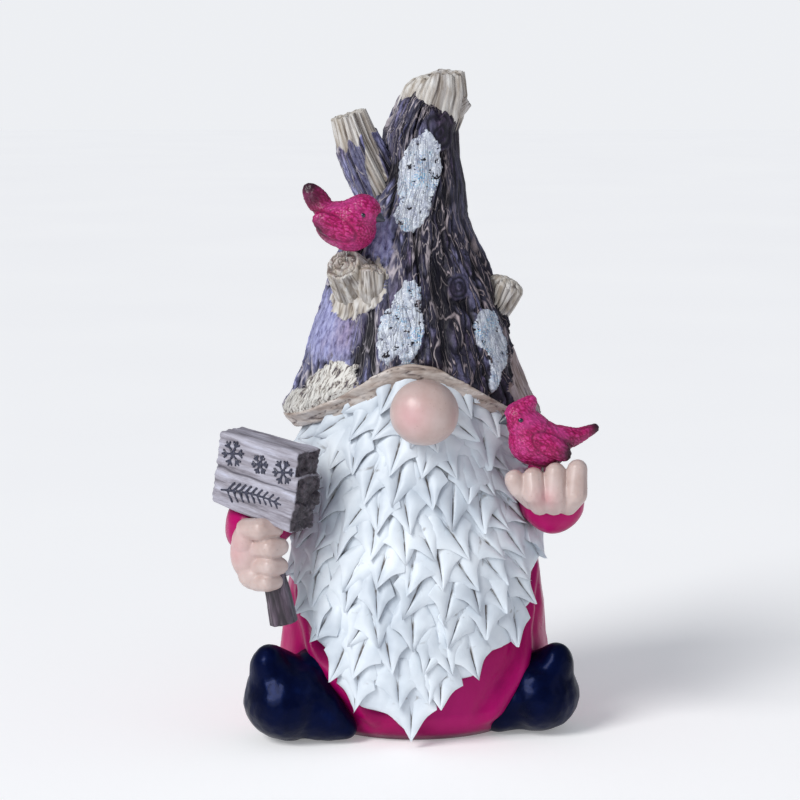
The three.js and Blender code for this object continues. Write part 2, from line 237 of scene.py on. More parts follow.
def node_copy(node):
    """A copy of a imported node's shape in millimetres, with its corners merged."""
    shape = bmesh.new()
    shape.from_mesh(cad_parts[node].data)
    bmesh.ops.scale(shape, vec=Vector((1, 1, 1)) / MM, verts=shape.verts)
    bmesh.ops.remove_doubles(shape, verts=shape.verts, dist=0.004)
    shape.normal_update()
    return shape


def store(corner, layers, values):
    for layer, value in zip(layers, values):
        corner[layer] = value


def pushed(shape, relief, layer_names=()):
    """Moves each corner along its normal by relief(point, normal), which also gives its layers' values."""
    shape.normal_update()
    layers = [shape.verts.layers.float.new(name) for name in layer_names]
    moves = [relief(corner.co, corner.normal) for corner in shape.verts]
    for corner, (push, *values) in zip(shape.verts, moves):
        corner.co += corner.normal * push
        store(corner, layers, values)
    return shape


def finish_piece(name, shape, coat, slot, replaced=(), crease=None):
    """Hands a shape drawn in millimetres over as a piece of the gnome."""
    bmesh.ops.scale(shape, vec=Vector((MM, MM, MM)), verts=shape.verts)
    mesh = bpy.data.meshes.new(name)
    shape.to_mesh(mesh)
    shape.free()
    mesh.materials.append(coat)
    mesh.shade_smooth()
    if crease is not None:
        mesh.set_sharp_from_angle(angle=crease)
    piece = bpy.data.objects.new(name, mesh)
    bpy.context.scene.collection.objects.link(piece)
    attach(piece, "root")
    if replaced:
        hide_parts(*replaced)
    return piece


# ------------------------------------------------------------------------------
# Paint tools
# ------------------------------------------------------------------------------


def plug(socket, value):
    """Links a socket to another node's output, or sets its value."""
    if isinstance(value, bpy.types.NodeSocket):
        socket.id_data.links.new(value, socket)
    else:
        socket.default_value = value


def feed(node, **inputs):
    """Gives a node its inputs by name, each as a value or as another node's output."""
    for name, value in inputs.items():
        plug(node.inputs[name.replace("_", " ")], value)


def add(tree, kind, settings=None, **inputs):
    """A new shader node with its settings and its inputs."""
    made = tree.nodes.new("ShaderNode" + kind)
    for key, value in (settings or {}).items():
        setattr(made, key, value)
    feed(made, **inputs)
    return made


def mixed(tree, share, first, second, way="MIX"):
    """Two colours mixed by a share, which may come from a node."""
    made = add(tree, "Mix", {"data_type": "RGBA", "blend_type": way})
    for name, value in (("Factor_Float", share), ("A_Color", first), ("B_Color", second)):
        socket = next(socket for socket in made.inputs if socket.identifier == name)
        plug(socket, (*value, 1) if isinstance(value, tuple) else value)
    return next(socket for socket in made.outputs if socket.identifier == "Result_Color")


def ramp(tree, share, *stops):
    """A colour ramp from (position, colour) stops."""
    made = add(tree, "ValToRGB", Fac=share)
    elements = made.color_ramp.elements
    while len(elements) < len(stops):
        elements.new(0.5)
    for element, (position, colour) in zip(elements, stops):
        element.position = position
        element.color = (*colour, 1)
    return made.outputs["Color"]


def grey(tree, share, low, high, start=0.0, end=1.0):
    """A share spread between two levels, held inside them."""
    made = add(tree, "MapRange", {"clamp": True}, Value=share)
    feed(made, From_Min=low, From_Max=high, To_Min=start, To_Max=end)
    return made.outputs["Result"]


def math_of(tree, way, first, second=0.0):
    """Two values joined by one sum, such as MULTIPLY or MAXIMUM."""
    made = add(tree, "Math", {"operation": way})
    for socket, value in zip(made.inputs, (first, second)):
        plug(socket, value)
    return made.outputs["Value"]


def place_on(tree):
    """Where a point lies on the object, in metres."""
    return add(tree, "TexCoord").outputs["Object"]


def cloud(tree, scale, detail=4.0, stretch=(1, 1, 1), turn=(0, 0, 0), rough=0.55):
    """Noise over the object, in bumps per metre, stretched and turned as grain is."""
    squeezed = tuple(1 / part for part in stretch)
    mapping = add(tree, "Mapping", {"vector_type": "TEXTURE"}, Scale=squeezed, Rotation=turn)
    feed(mapping, Vector=place_on(tree))
    place = mapping.outputs["Vector"]
    return add(tree, "TexNoise", Vector=place, Scale=scale, Detail=detail, Roughness=rough).outputs["Fac"]


def flecks(tree, scale):
    """A random colour for each of many tiny cells."""
    return add(tree, "TexVoronoi", Vector=place_on(tree), Scale=scale).outputs["Color"]


def stored(tree, name):
    """A value that the sculpting stored on the piece."""
    return add(tree, "Attribute", {"attribute_name": name}).outputs["Fac"]


def hollow_shade(tree, reach):
    """1 in corners, creases and under things, where painted shade darkens the colour; 0 out in the open."""
    open_sky = add(tree, "AmbientOcclusion", {"samples": 8}, Distance=reach * MM).outputs["AO"]
    return math_of(tree, "SUBTRACT", 1.0, open_sky)


def bumped(tree, height, depth, strength=1.0, before=None):
    """Fine relief, with its depth in millimetres, over any relief that comes before it."""
    made = add(tree, "Bump", Height=height, Distance=depth * MM, Strength=strength)
    if before is not None:
        feed(made, Normal=before)
    return made.outputs["Normal"]


def paint(name, **constants):
    """A new paint: its node tree and its shader, with the even values set on the shader itself."""
    made = bpy.data.materials.new(name)
    made.use_nodes = True
    shader = made.node_tree.nodes["Principled BSDF"]
    feed(shader, **constants)
    return made, made.node_tree, shader


def coat_paint():
    """Crimson brushed on in streaks, with painted shade that makes it deeper and more purple in the folds,
    under gloss varnish.
    """
    gloss = {"Coat_Weight": 0.14, "Coat_Roughness": 0.16, "Specular_IOR_Level": 0.14}
    made, tree, shader = paint("crimson_gloss", Specular_Tint=(1.0, 0.55, 0.75, 1), **gloss)
    streaks = cloud(tree, 60, 5, (1, 1, 0.35))
    body = ramp(
        tree,
        streaks,
        (0.25, (0.24, 0.001, 0.070)),
        (0.5, (0.40, 0.002, 0.110)),
        (0.8, (0.52, 0.008, 0.16)),
    )
    drift = cloud(tree, 16, 2)
    violet = mixed(tree, grey(tree, drift, 0.5, 0.75, 0, 0.4), body, (0.30, 0.005, 0.15))
    # Painted shade: the crimson goes dark purple in folds and corners.
    shade = grey(tree, hollow_shade(tree, 9), 0.25, 0.95, 0, 0.8)
    colour = mixed(tree, shade, violet, (0.055, 0.001, 0.03))
    feed(shader, Base_Color=colour)
    feed(shader, Roughness=grey(tree, cloud(tree, 140, 3), 0.3, 0.7, 0.26, 0.44))
    fine = bumped(tree, cloud(tree, 700, 3, (1, 1, 0.3)), 0.06)
    feed(shader, Normal=bumped(tree, cloud(tree, 90, 3), 0.45, 0.8, fine))
    return made


def leaf_paint():
    """Cool white, thinned with a grey-brown wash that stays in the veins, and darkened by painted shade
    under the leaves.
    """
    made, tree, shader = paint("leaf_white", Coat_Weight=0.12, Coat_Roughness=0.35)
    tone = cloud(tree, 55, 3)
    white = ramp(
        tree,
        tone,
        (0.3, (0.50, 0.56, 0.63)),
        (0.55, (0.70, 0.76, 0.82)),
        (0.8, (0.84, 0.89, 0.93)),
    )
    broken = grey(tree, cloud(tree, 330, 3), 0.3, 0.58, 0.35, 1)
    vein = math_of(tree, "MULTIPLY", stored(tree, "wash"), broken)
    washed = mixed(tree, grey(tree, vein, 0.25, 0.8, 0, 0.9), white, (0.13, 0.10, 0.075))
    # Painted shade under the leaves and in the corners between them.
    under = grey(tree, hollow_shade(tree, 3.5), 0.4, 1.0, 0, 0.85)
    colour = mixed(tree, under, washed, (0.13, 0.11, 0.11))
    feed(shader, Base_Color=colour)
    feed(shader, Roughness=grey(tree, tone, 0.3, 0.7, 0.38, 0.56))
    fine = bumped(tree, cloud(tree, 900, 3), 0.05)
    feed(shader, Normal=bumped(tree, cloud(tree, 260, 3), 0.22, 0.7, fine))
    return made


def wood_colour(tree, grain):
    """Pale cut wood with brown wash drawn along its grain, darker in its grooves, with painted shade in its
    hollows.
    """
    drift = cloud(tree, 70, 3)
    pale = ramp(
        tree,
        grain,
        (0.30, (0.22, 0.18, 0.14)),
        (0.42, (0.42, 0.37, 0.31)),
        (0.56, (0.60, 0.57, 0.53)),
        (0.75, (0.78, 0.78, 0.76)),
    )
    duller = mixed(tree, 1.0, pale, (0.72, 0.70, 0.76), "MULTIPLY")
    greyed = mixed(tree, grey(tree, drift, 0.45, 0.7, 0, 0.6), pale, duller)
    sunk = grey(tree, stored(tree, "crevice"), 0.25, 0.95, 0, 0.8)
    # Darker in the grooves, and painted shade in the hollows.
    deep = math_of(tree, "MAXIMUM", sunk, grey(tree, hollow_shade(tree, 2), 0.45, 1, 0, 0.85))
    return mixed(tree, deep, greyed, (0.085, 0.06, 0.05))


def wood_paint():
    """Bare wood of the cut ends, with its grain running up."""
    made, tree, shader = paint("bare_wood", Roughness=0.6)
    grain = cloud(tree, 420, 5, (1, 1, 0.1), rough=0.62)
    feed(shader, Base_Color=wood_colour(tree, grain))
    fine = bumped(tree, cloud(tree, 1200, 3), 0.06)
    feed(shader, Normal=bumped(tree, grain, 0.35, 0.9, fine))
    return made


def lip_paint():
    """The brim's wood: duller and browner than the cut ends, with its grain running round the edge, darker
    in its splits, and with painted shade in its hollows.
    """
    made, tree, shader = paint("brim_wood", Roughness=0.5, Coat_Weight=0.15, Coat_Roughness=0.3)
    grain = cloud(tree, 300, 5, (0.3, 0.3, 1.0), rough=0.6)
    base = ramp(
        tree,
        grain,
        (0.32, (0.22, 0.155, 0.125)),
        (0.47, (0.42, 0.345, 0.30)),
        (0.62, (0.60, 0.54, 0.50)),
        (0.8, (0.72, 0.69, 0.67)),
    )
    sunk = grey(tree, stored(tree, "crevice"), 0.3, 0.9, 0, 0.85)
    # Darker in the splits, and painted shade in the hollows.
    deep = math_of(tree, "MAXIMUM", sunk, grey(tree, hollow_shade(tree, 4), 0.4, 1))
    feed(shader, Base_Color=mixed(tree, deep, base, (0.085, 0.055, 0.055)))
    feed(shader, Normal=bumped(tree, grain, 0.25, 0.9))
    return made


def frost_colour(tree):
    """Snow-white glitter over lavender-grey, with cyan and blue flecks gathered in places."""
    snow = ramp(
        tree,
        cloud(tree, 560, 5, (1, 1, 0.5), rough=0.72),
        (0.30, (0.20, 0.21, 0.30)),
        (0.43, (0.42, 0.45, 0.54)),
        (0.56, (0.60, 0.64, 0.71)),
        (0.72, (0.80, 0.84, 0.90)),
    )
    parts = add(tree, "SeparateColor", Color=flecks(tree, 3000))
    gathered = grey(tree, cloud(tree, 95, 3), 0.5, 0.68)
    blue = math_of(tree, "MULTIPLY", grey(tree, parts.outputs["Red"], 0.62, 0.74, 0, 0.8), gathered)
    fleck = mixed(tree, parts.outputs["Green"], (0.03, 0.10, 0.45), (0.14, 0.62, 0.80))
    glitter = mixed(tree, blue, snow, fleck)
    white = grey(tree, parts.outputs["Blue"], 0.9, 0.94, 0, 0.75)
    return mixed(tree, white, glitter, (0.97, 0.99, 1.0))


def run_vector(tree):
    """Places in the bark's pattern, as the sculpting stored them."""
    height = add(tree, "SeparateXYZ", Vector=place_on(tree)).outputs["Z"]
    risen = math_of(tree, "MULTIPLY", height, RUN_RISE / MM)
    east, north = stored(tree, "east"), stored(tree, "north")
    return add(tree, "CombineXYZ", X=east, Y=north, Z=risen).outputs["Vector"]


def strands(tree, run, scale, width):
    """Thin lines that run up the trunk and wander: 1 on a line, and 1 in the shadow on both sides of it."""
    wave = add(tree, "TexNoise", Vector=run, Scale=scale, Detail=2.0, Roughness=0.5, Distortion=0.5)
    away = math_of(tree, "ABSOLUTE", math_of(tree, "SUBTRACT", wave.outputs["Fac"], 0.5))
    line = grey(tree, away, width * 0.3, width, 1, 0)
    broad = grey(tree, away, width * 2.4, width * 4.5, 1, 0)
    return line, math_of(tree, "SUBTRACT", broad, line)


def bark_lines(tree, run):
    """Coarse and fine strands together, and their shadows, only where the bark is open."""
    coarse, coarse_shadow = strands(tree, run, 0.17, 0.021)
    fine, fine_shadow = strands(tree, run, 0.33, 0.020)
    open_bark = stored(tree, "strand")
    line = math_of(tree, "MULTIPLY", math_of(tree, "MAXIMUM", coarse, fine), open_bark)
    shadow = math_of(tree, "MULTIPLY", math_of(tree, "MAXIMUM", coarse_shadow, fine_shadow), open_bark)
    return line, shadow


def lit_and_shaded_plates(tree, mottle, side):
    """Painted light and shade on the plates: lavender on the lit left, near-black plum on the shaded right.
    """
    lavender = ramp(
        tree,
        mottle,
        (0.30, (0.030, 0.027, 0.075)),
        (0.39, (0.150, 0.145, 0.290)),
        (0.50, (0.300, 0.305, 0.530)),
        (0.66, (0.470, 0.480, 0.720)),
    )
    plum = ramp(
        tree,
        mottle,
        (0.36, (0.004, 0.003, 0.009)),
        (0.48, (0.022, 0.016, 0.040)),
        (0.60, (0.075, 0.056, 0.110)),
        (0.74, (0.220, 0.175, 0.270)),
    )
    return mixed(tree, side, lavender, plum)


def bark_colour(tree, mottle, line, shadow):
    """Worn plates with pale lines and painted shadows beside them, darker in the furrows, and painted light
    and shade across the trunk: lighter and cooler on the left, darker on the right.
    """
    aside = add(tree, "SeparateXYZ", Vector=place_on(tree)).outputs["X"]
    crevice = stored(tree, "crevice")
    drift = cloud(tree, 70, 4, (1, 1, 0.35))
    shift = grey(tree, drift, 0.4, 0.62, -0.35, 0.25)
    # Painted light and shade: 0 on the lit left and 1 on the shaded right, moved a little by the drift.
    side = math_of(tree, "ADD", grey(tree, aside, -0.016, 0.010), shift)
    plates = lit_and_shaded_plates(tree, mottle, grey(tree, side, 0.0, 1.0))
    warm = mixed(tree, 1.0, plates, (1.15, 0.78, 0.74), "MULTIPLY")
    worn = mixed(tree, grey(tree, drift, 0.54, 0.68, 0, 0.5), plates, warm)
    # The painted shadows beside the pale lines are deeper on the shaded right.
    depth = grey(tree, aside, -0.02, 0.01, 0.55, 0.85)
    shaded = mixed(tree, math_of(tree, "MULTIPLY", shadow, depth), worn, (0.006, 0.005, 0.013))
    sunk = mixed(tree, grey(tree, crevice, 0.15, 0.8), shaded, (0.004, 0.003, 0.009))
    # The pale lines on the ridges are painted lighter on the lit left than on the shaded right, as painted
    # highlight.
    pale = mixed(tree, grey(tree, aside, -0.02, 0.02), (0.50, 0.46, 0.50), (0.36, 0.29, 0.30))
    shown = math_of(tree, "MULTIPLY", line, grey(tree, crevice, 0.3, 0.9, 0.9, 0.45))
    lined = mixed(tree, shown, sunk, pale)
    return lined, aside


def bark_paint():
    """Bark with thin pale ridges, and the frost, the scar and the bare wood that lie on it."""
    made, tree, shader = paint("bark_violet", Specular_IOR_Level=0.3)
    mottle = cloud(tree, 560, 6, (1, 1, 0.45), rough=0.68)
    run = run_vector(tree)
    line, shadow = bark_lines(tree, run)
    lined, aside = bark_colour(tree, mottle, line, shadow)
    grain = add(tree, "TexNoise", Vector=run, Scale=0.55, Detail=5.0, Roughness=0.62).outputs["Fac"]
    wood = wood_colour(tree, grain)
    duller = mixed(tree, 1.0, wood, (0.62, 0.47, 0.56), "MULTIPLY")
    mauve = mixed(tree, grey(tree, aside, 0.0, 0.02, 0, 0.7), wood, duller)
    with_wood = mixed(tree, grey(tree, stored(tree, "bare"), 0.35, 0.65), lined, mauve)
    pits = cloud(tree, 800, 5, (1, 1, 0.28), (0, SCAR_LEAN, 0), 0.72)
    cream = ramp(
        tree,
        pits,
        (0.39, (0.045, 0.033, 0.05)),
        (0.45, (0.36, 0.32, 0.28)),
        (0.52, (0.72, 0.70, 0.66)),
    )
    scar = stored(tree, "scar")
    scarred = mixed(tree, grey(tree, scar, 0.3, 0.6), with_wood, cream)
    frosted = mixed(tree, grey(tree, stored(tree, "frost"), 0.35, 0.62), scarred, frost_colour(tree))
    fine = bumped(tree, mottle, 0.35, 0.9)
    grained = bumped(tree, grain, 0.15, 0.5, fine)
    raised = bumped(tree, math_of(tree, "SUBTRACT", line, shadow), 0.35, 1.0, grained)
    scratched = bumped(tree, math_of(tree, "MULTIPLY", pits, scar), 0.2, 0.9, raised)
    rough = grey(tree, mottle, 0.3, 0.75, 0.36, 0.68)
    feed(shader, Base_Color=frosted, Roughness=rough, Normal=scratched)
    return made


def skin_paint():
    """Warm flesh with a pink blush where the layer says, and painted shade in its creases, under a satin
    varnish.
    """
    depth = {"Subsurface_Weight": 0.06, "Subsurface_Radius": (0.6 * MM, 0.3 * MM, 0.2 * MM)}
    made, tree, shader = paint("flesh", Coat_Weight=0.22, Coat_Roughness=0.3, **depth)
    tone = cloud(tree, 120, 3)
    flesh = ramp(tree, tone, (0.3, (0.49, 0.36, 0.325)), (0.7, (0.60, 0.485, 0.455)))
    rosy = mixed(tree, grey(tree, stored(tree, "blush"), 0, 1, 0, 0.55), flesh, (0.60, 0.27, 0.30))
    # Painted shade in the skin's creases and where it meets other parts.
    fold_shade = grey(tree, hollow_shade(tree, 2.6), 0.4, 0.95, 0, 0.85)
    colour = mixed(tree, fold_shade, rosy, (0.22, 0.085, 0.06))
    speck = grey(tree, cloud(tree, 1500, 2), 0.68, 0.74, 0, 0.6)
    feed(shader, Base_Color=mixed(tree, speck, colour, (0.30, 0.19, 0.15)))
    feed(shader, Roughness=grey(tree, tone, 0.3, 0.7, 0.30, 0.44))
    feed(shader, Normal=bumped(tree, cloud(tree, 190, 3), 0.22))
    return made


def boot_paint():
    """Navy so dark it is nearly black, brushed and varnished."""
    gloss = {"Coat_Weight": 0.06, "Coat_Roughness": 0.16, "Specular_IOR_Level": 0.16}
    made, tree, shader = paint("boot_navy", Specular_Tint=(0.10, 0.22, 1.0, 1), **gloss)
    brush = cloud(tree, 110, 5, (1, 1, 0.45), (0.4, 0.2, 0))
    colour = ramp(
        tree,
        brush,
        (0.3, (0.0005, 0.0008, 0.006)),
        (0.6, (0.0010, 0.0026, 0.020)),
        (0.8, (0.0025, 0.008, 0.048)),
    )
    feed(shader, Base_Color=colour)
    feed(shader, Roughness=grey(tree, brush, 0.3, 0.7, 0.26, 0.42))
    fine = bumped(tree, cloud(tree, 800, 3), 0.05)
    feed(shader, Normal=bumped(tree, cloud(tree, 130, 4), 0.5, 0.8, fine))
    return made


def bird_paint():
    """Crimson over engraved feathers: paler on top of the strokes, with a painted sheen, dark at the tail
    and wing tips, and painted shade in the folds.
    """
    gloss = {"Coat_Weight": 0.2, "Coat_Roughness": 0.25, "Specular_IOR_Level": 0.25}
    made, tree, shader = paint("bird_crimson", **gloss)
    plume = stored(tree, "crevice")
    red = ramp(
        tree,
        plume,
        (0.0, (0.52, 0.035, 0.21)),
        (0.3, (0.42, 0.008, 0.115)),
        (1.0, (0.19, 0.001, 0.05)),
    )
    lit = grey(tree, cloud(tree, 130, 3), 0.45, 0.7, 0, 0.45)
    sheen = mixed(tree, lit, red, (0.58, 0.075, 0.32))
    dark = mixed(tree, stored(tree, "dark"), sheen, (0.035, 0.004, 0.016))
    # Painted shade in the folds and where the bird meets other parts.
    fold_shade = grey(tree, hollow_shade(tree, 2.5), 0.45, 1.0, 0, 0.7)
    feed(shader, Base_Color=mixed(tree, fold_shade, dark, (0.05, 0.001, 0.02)))
    feed(shader, Roughness=grey(tree, plume, 0, 1, 0.30, 0.5))
    feed(shader, Normal=bumped(tree, cloud(tree, 1600, 2), 0.08))
    return made


def sign_paint():
    """Weathered planks: lavender-grey with darker grain, and a dark broken end, darker in the seam and
    cracks, with painted shade in the hollows.
    """
    made, tree, shader = paint("sign_plank", Roughness=0.55)
    grain = cloud(tree, 380, 6, (0.13, 1, 1), (0, BOARD_SLOPE, BOARD_TURN), 0.64)
    face = ramp(
        tree,
        grain,
        (0.30, (0.10, 0.09, 0.11)),
        (0.43, (0.27, 0.25, 0.29)),
        (0.58, (0.43, 0.42, 0.49)),
        (0.76, (0.62, 0.64, 0.80)),
    )
    end = ramp(
        tree,
        cloud(tree, 500, 4),
        (0.3, (0.018, 0.013, 0.018)),
        (0.6, (0.07, 0.055, 0.07)),
        (0.8, (0.17, 0.14, 0.17)),
    )
    broken = mixed(tree, stored(tree, "end"), face, end)
    sunk = grey(tree, stored(tree, "crevice"), 0.4, 1.0, 0, 0.85)
    # Darker in the seam and cracks, and painted shade in the hollows.
    deep = math_of(tree, "MAXIMUM", sunk, grey(tree, hollow_shade(tree, 1.5), 0.5, 1))
    feed(shader, Base_Color=mixed(tree, deep, broken, (0.03, 0.025, 0.04)))
    feed(shader, Normal=bumped(tree, grain, 0.3, 0.9))
    return made


def post_paint():
    """A peeled stick, brown-violet with paler ridges."""
    made, tree, shader = paint("post_bark", Roughness=0.45, Coat_Weight=0.2, Coat_Roughness=0.3)
    grain = cloud(tree, 420, 5, (1, 1, 0.16), (0, POST_LEAN, 0), 0.6)
    streaks = ramp(
        tree,
        grain,
        (0.3, (0.018, 0.011, 0.018)),
        (0.55, (0.085, 0.058, 0.085)),
        (0.8, (0.26, 0.21, 0.27)),
    )
    deep = grey(tree, stored(tree, "crevice"), 0.4, 1.0, 0, 0.9)
    feed(shader, Base_Color=mixed(tree, deep, streaks, (0.012, 0.006, 0.012)))
    feed(shader, Normal=bumped(tree, grain, 0.3))
    return made


def dark_gloss(name, colour, roughness):
    """Small glossy details: eyes, beaks and ink, with a little unevenness."""
    made, tree, shader = paint(name, Coat_Weight=0.6, Coat_Roughness=0.12)
    uneven = cloud(tree, 900, 3)
    lighter = tuple(min(part * 1.8 + 0.004, 1) for part in colour)
    feed(shader, Base_Color=ramp(tree, uneven, (0.3, colour), (0.75, lighter)))
    feed(shader, Roughness=grey(tree, uneven, 0.3, 0.7, roughness * 0.8, roughness * 1.2))
    feed(shader, Normal=bumped(tree, uneven, 0.04))
    return made


def wire_metal():
    """Drawn steel, with fine lines along the wire."""
    made, tree, shader = paint("wire_steel", Metallic=1.0)
    drawn = cloud(tree, 1800, 3, (1, 1, 0.1))
    steel = ramp(tree, drawn, (0.3, (0.22, 0.20, 0.19)), (0.7, (0.48, 0.46, 0.44)))
    feed(shader, Base_Color=steel)
    feed(shader, Roughness=grey(tree, drawn, 0.3, 0.7, 0.28, 0.5))
    return made


def resin_plain():
    """The casting's own chalky resin, unpainted underneath."""
    made, tree, shader = paint("resin_bare", Roughness=0.75)
    chalk = cloud(tree, 180, 5)
    resin = ramp(tree, chalk, (0.3, (0.50, 0.46, 0.40)), (0.7, (0.64, 0.61, 0.55)))
    feed(shader, Base_Color=resin)
    feed(shader, Normal=bumped(tree, cloud(tree, 600, 4), 0.15))
    return made


def plug_rubber():
    """Black rubber with a greyish bloom."""
    made, tree, shader = paint("plug_rubber", Specular_IOR_Level=0.35)
    worn = cloud(tree, 260, 4)
    black = ramp(tree, worn, (0.3, (0.014, 0.014, 0.015)), (0.75, (0.045, 0.045, 0.048)))
    feed(shader, Base_Color=black)
    feed(shader, Roughness=grey(tree, worn, 0.3, 0.7, 0.6, 0.85))
    feed(shader, Normal=bumped(tree, worn, 0.08))
    return made


# ------------------------------------------------------------------------------
# Coat, arms and boots
# ------------------------------------------------------------------------------

SIGN_ARM = [(-38, -4, 88), (-50, -20, 84), (-58, -32.5, 79.5)]
BIRD_ARM = [(38, -3, 92), (46, -18, 90), (50, -30.5, 88.2)]
COAT_CELLS = (230, 130)  # round the coat and up it
RECESS_WIDTH = 0.903  # the recess in the coat's foot, as a share of the foot's width
RECESS_DEPTH = 4.9
LEGS = [(-50, 18), (58, 15)]  # where a leg swells the coat above each boot: degrees round and height
LEG_SWELL = 2.4
LEG_SPREAD = (0.42, 13)  # how far it spreads: radians round and millimetres up
FOLD_ROUND = 46  # the coat's radius where its folds are laid out
# Folds in the cloth: degrees round and height where each starts and ends.
FOLDS = [
    (-52, 40, -14, 5),
    (-66, 58, -40, 22),
    (60, 40, 30, 4),
    (74, 66, 52, 34),
    (128, 70, 96, 16),
    (-120, 74, -98, 14),
    (168, 84, 150, 12),
    (-158, 80, -146, 20),
]


def fold_at(angle, z):
    """The height of the cloth's folds at a place: each is a soft ridge with a hollow on both sides."""
    height = 0.0
    for from_turn, from_z, to_turn, to_z in FOLDS:
        start = Vector((math.radians(from_turn) * FOLD_ROUND, from_z))
        run = Vector((math.radians(to_turn) * FOLD_ROUND, to_z)) - start
        away = Vector((angle * FOLD_ROUND, z)) - start
        share = min(max(away.dot(run) / run.length_squared, 0.0), 1.0)
        beside = away - run * share
        side = run.x * beside.y - run.y * beside.x
        across = math.copysign(beside.length, side) + 0.8 * noise.noise(Vector((angle * 3, z * 0.08, 4)))
        fade = smooth(0, 0.18, share) * smooth(1, 0.8, share)
        height += fade * (1.7 * hump(across, 3.4) - 1.1 * hump(abs(across) - 5.5, 2.6))
    return height


def coat_folds(angle, z):
    """How far the coat swells or sinks: folds, and a rounded leg above each boot."""
    place = Vector((math.sin(angle) * 1.6, math.cos(angle) * 1.6, z * 0.022))
    folds = 1.3 * noise.noise(place * 1.5) + 0.5 * noise.noise(place * 4) + fold_at(angle, z)
    wide, tall = LEG_SPREAD
    for degrees, height in LEGS:
        folds += LEG_SWELL * hump(angle - math.radians(degrees), wide) * hump(z - height, tall)
    return folds * smooth(0, 8, z)


def make_coat(coat):
    """The coat is one skin from its rim to under the hat, with a recess below for the base plate."""
    sheet, _, places = rolled_sheet(*COAT_CELLS)
    for corner, turn, level in places:
        angle = turn * math.tau - math.pi
        z = blend(COAT[0][0], COAT[-1][0], level)
        point, out = skin_at(COAT, angle, z)
        corner.co = point + out * coat_folds(angle, z)
    bmesh.ops.remove_doubles(sheet, verts=sheet.verts, dist=0.002)
    rim = [edge for edge in sheet.edges if edge.is_boundary and edge.verts[0].co.z < 1]
    for scale, rise in ((RECESS_WIDTH, 0.0), (1.0, RECESS_DEPTH)):
        grown = bmesh.ops.extrude_edge_only(sheet, edges=rim)["geom"]
        corners = [item for item in grown if isinstance(item, bmesh.types.BMVert)]
        bmesh.ops.scale(sheet, vec=Vector((scale, scale, 1)), verts=corners)
        bmesh.ops.translate(sheet, vec=UP * rise, verts=corners)
        rim = [item for item in grown if isinstance(item, bmesh.types.BMEdge)]
    close_shell(sheet)
    finish_piece("coat_skin", sheet, coat, "coat", ["coat_body"])


def make_sleeve(name, points, radii, coat, node):
    """A plump arm, melted from a row of balls and dented a little."""
    arm = bmesh.new()
    chain(arm, points, radii)
    arm = melted(arm, VOXEL["sleeve"], 5)

    def dents(point, _normal):
        return (0.5 * noise.noise(point * 0.13),)

    finish_piece(name, pushed(arm, dents), coat, "coat", [node])


def make_boot(name, side, centre, size, coat, node):
    """A rounded boot on its heel: a fat foot, a toe that points up and out, and an ankle by the coat."""
    boot = bmesh.new()

    def at(x, y, z):
        return Vector((centre[0] + side * x * size, centre[1] + y * size, z * size))

    ball(boot, at(1.4, -0.5, 14.4), (16.4 * size, 17.6 * size, 14.4 * size))
    ball(boot, at(-2.5, 2.5, 9), (15.6 * size, 15 * size, 9 * size))
    ball(boot, at(1.6, -0.5, 19), (15.2 * size, 15.6 * size, 12 * size))
    toe = [at(4, -2, 22), at(7.6, -4.4, 29), at(9.0, -5.4, 33.0)]
    chain(boot, toe, [11.5 * size, 7.2 * size, 3.6 * size])
    chain(boot, [at(-5, 2, 19), at(-8, 5, 24.5)], [10.5 * size, 8.6 * size])
    sole = [at(-6, -3, 13), at(-14, -5, 8.5), at(-20, -5.5, 5.6)]
    chain(boot, sole, [12 * size, 8.0 * size, 4.6 * size])
    boot = melted(boot, VOXEL["boot"], 9)

    def wear(point, _normal):
        crease = hump((point - at(1.0, -6, 29.5)).length, 4.6 * size)
        return (0.6 * noise.noise(point * 0.1) + 0.2 * noise.noise(point * 0.3) - 1.8 * crease,)

    pushed(boot, wear)
    for corner in boot.verts:
        corner.co.z = max(corner.co.z, 0.0)
    finish_piece(name, boot, coat, "boot", [node])


# ------------------------------------------------------------------------------
# Beard
# ------------------------------------------------------------------------------

LEAF_CELLS = (10, 15)  # cells across and along one leaf
LEAF_LENGTH = (18.0, 21.5)
LEAF_WIDTH = (7.2, 8.8)  # half of a leaf's width at its side points
SIDE_POINT = 0.46  # where along the leaf its side points stand
SKIRT_DROP = 3.2  # how far a leaf's edge runs down into the beard
SKIRT_BACK = 1.8  # and back towards its foot
POINT_LEAF = (25.0, 9.4)  # length and half width of the big leaf at the beard's point
ROWS = (18.0, 126)  # heights of the first row of tips and of the beard's top
ROW_STEP = 10.2
LEAF_STEP = 12.2
# The beard's edge from its point up each side: height, then degrees round on the left and on the right.
BEARD_EDGE = [
    (3.3, -2, -2),
    (13.5, -25, 10),
    (24, -34.5, 24.5),
    (37, -44, 42),
    (47, -54, 54),
    (59, -65, 63),
    (74, -78, 70),
    (90, -84, 84),
    (125, -86, 86),
]
# Tips of the leaves on the jagged edge, up the left and then up the right: degrees round and height.
EDGE_TIPS = [
    (-2, 3.3),
    (-25, 13.5),
    (-34.5, 24),
    (-44, 37.5),
    (-54, 46),
    (-65, 58),
    (-77, 72),
    (-82, 90),
    (-83, 106),
    (10, 15.5),
    (24.5, 26),
    (42, 36),
    (54, 50),
    (65, 65),
    (74, 80),
    (80, 96),
    (82, 110),
]


def leaf_outline(share):
    """Half the leaf's width, as a share of its widest, from its foot at 0 to its tip at 1."""
    if share < SIDE_POINT:
        return blend(0.6, 1.0, (share / SIDE_POINT) ** 1.4)
    rest = (share - SIDE_POINT) / (1 - SIDE_POINT)
    return max((1 - rest) * (1 - 0.2 * math.sin(rest * math.pi)), 0.02)


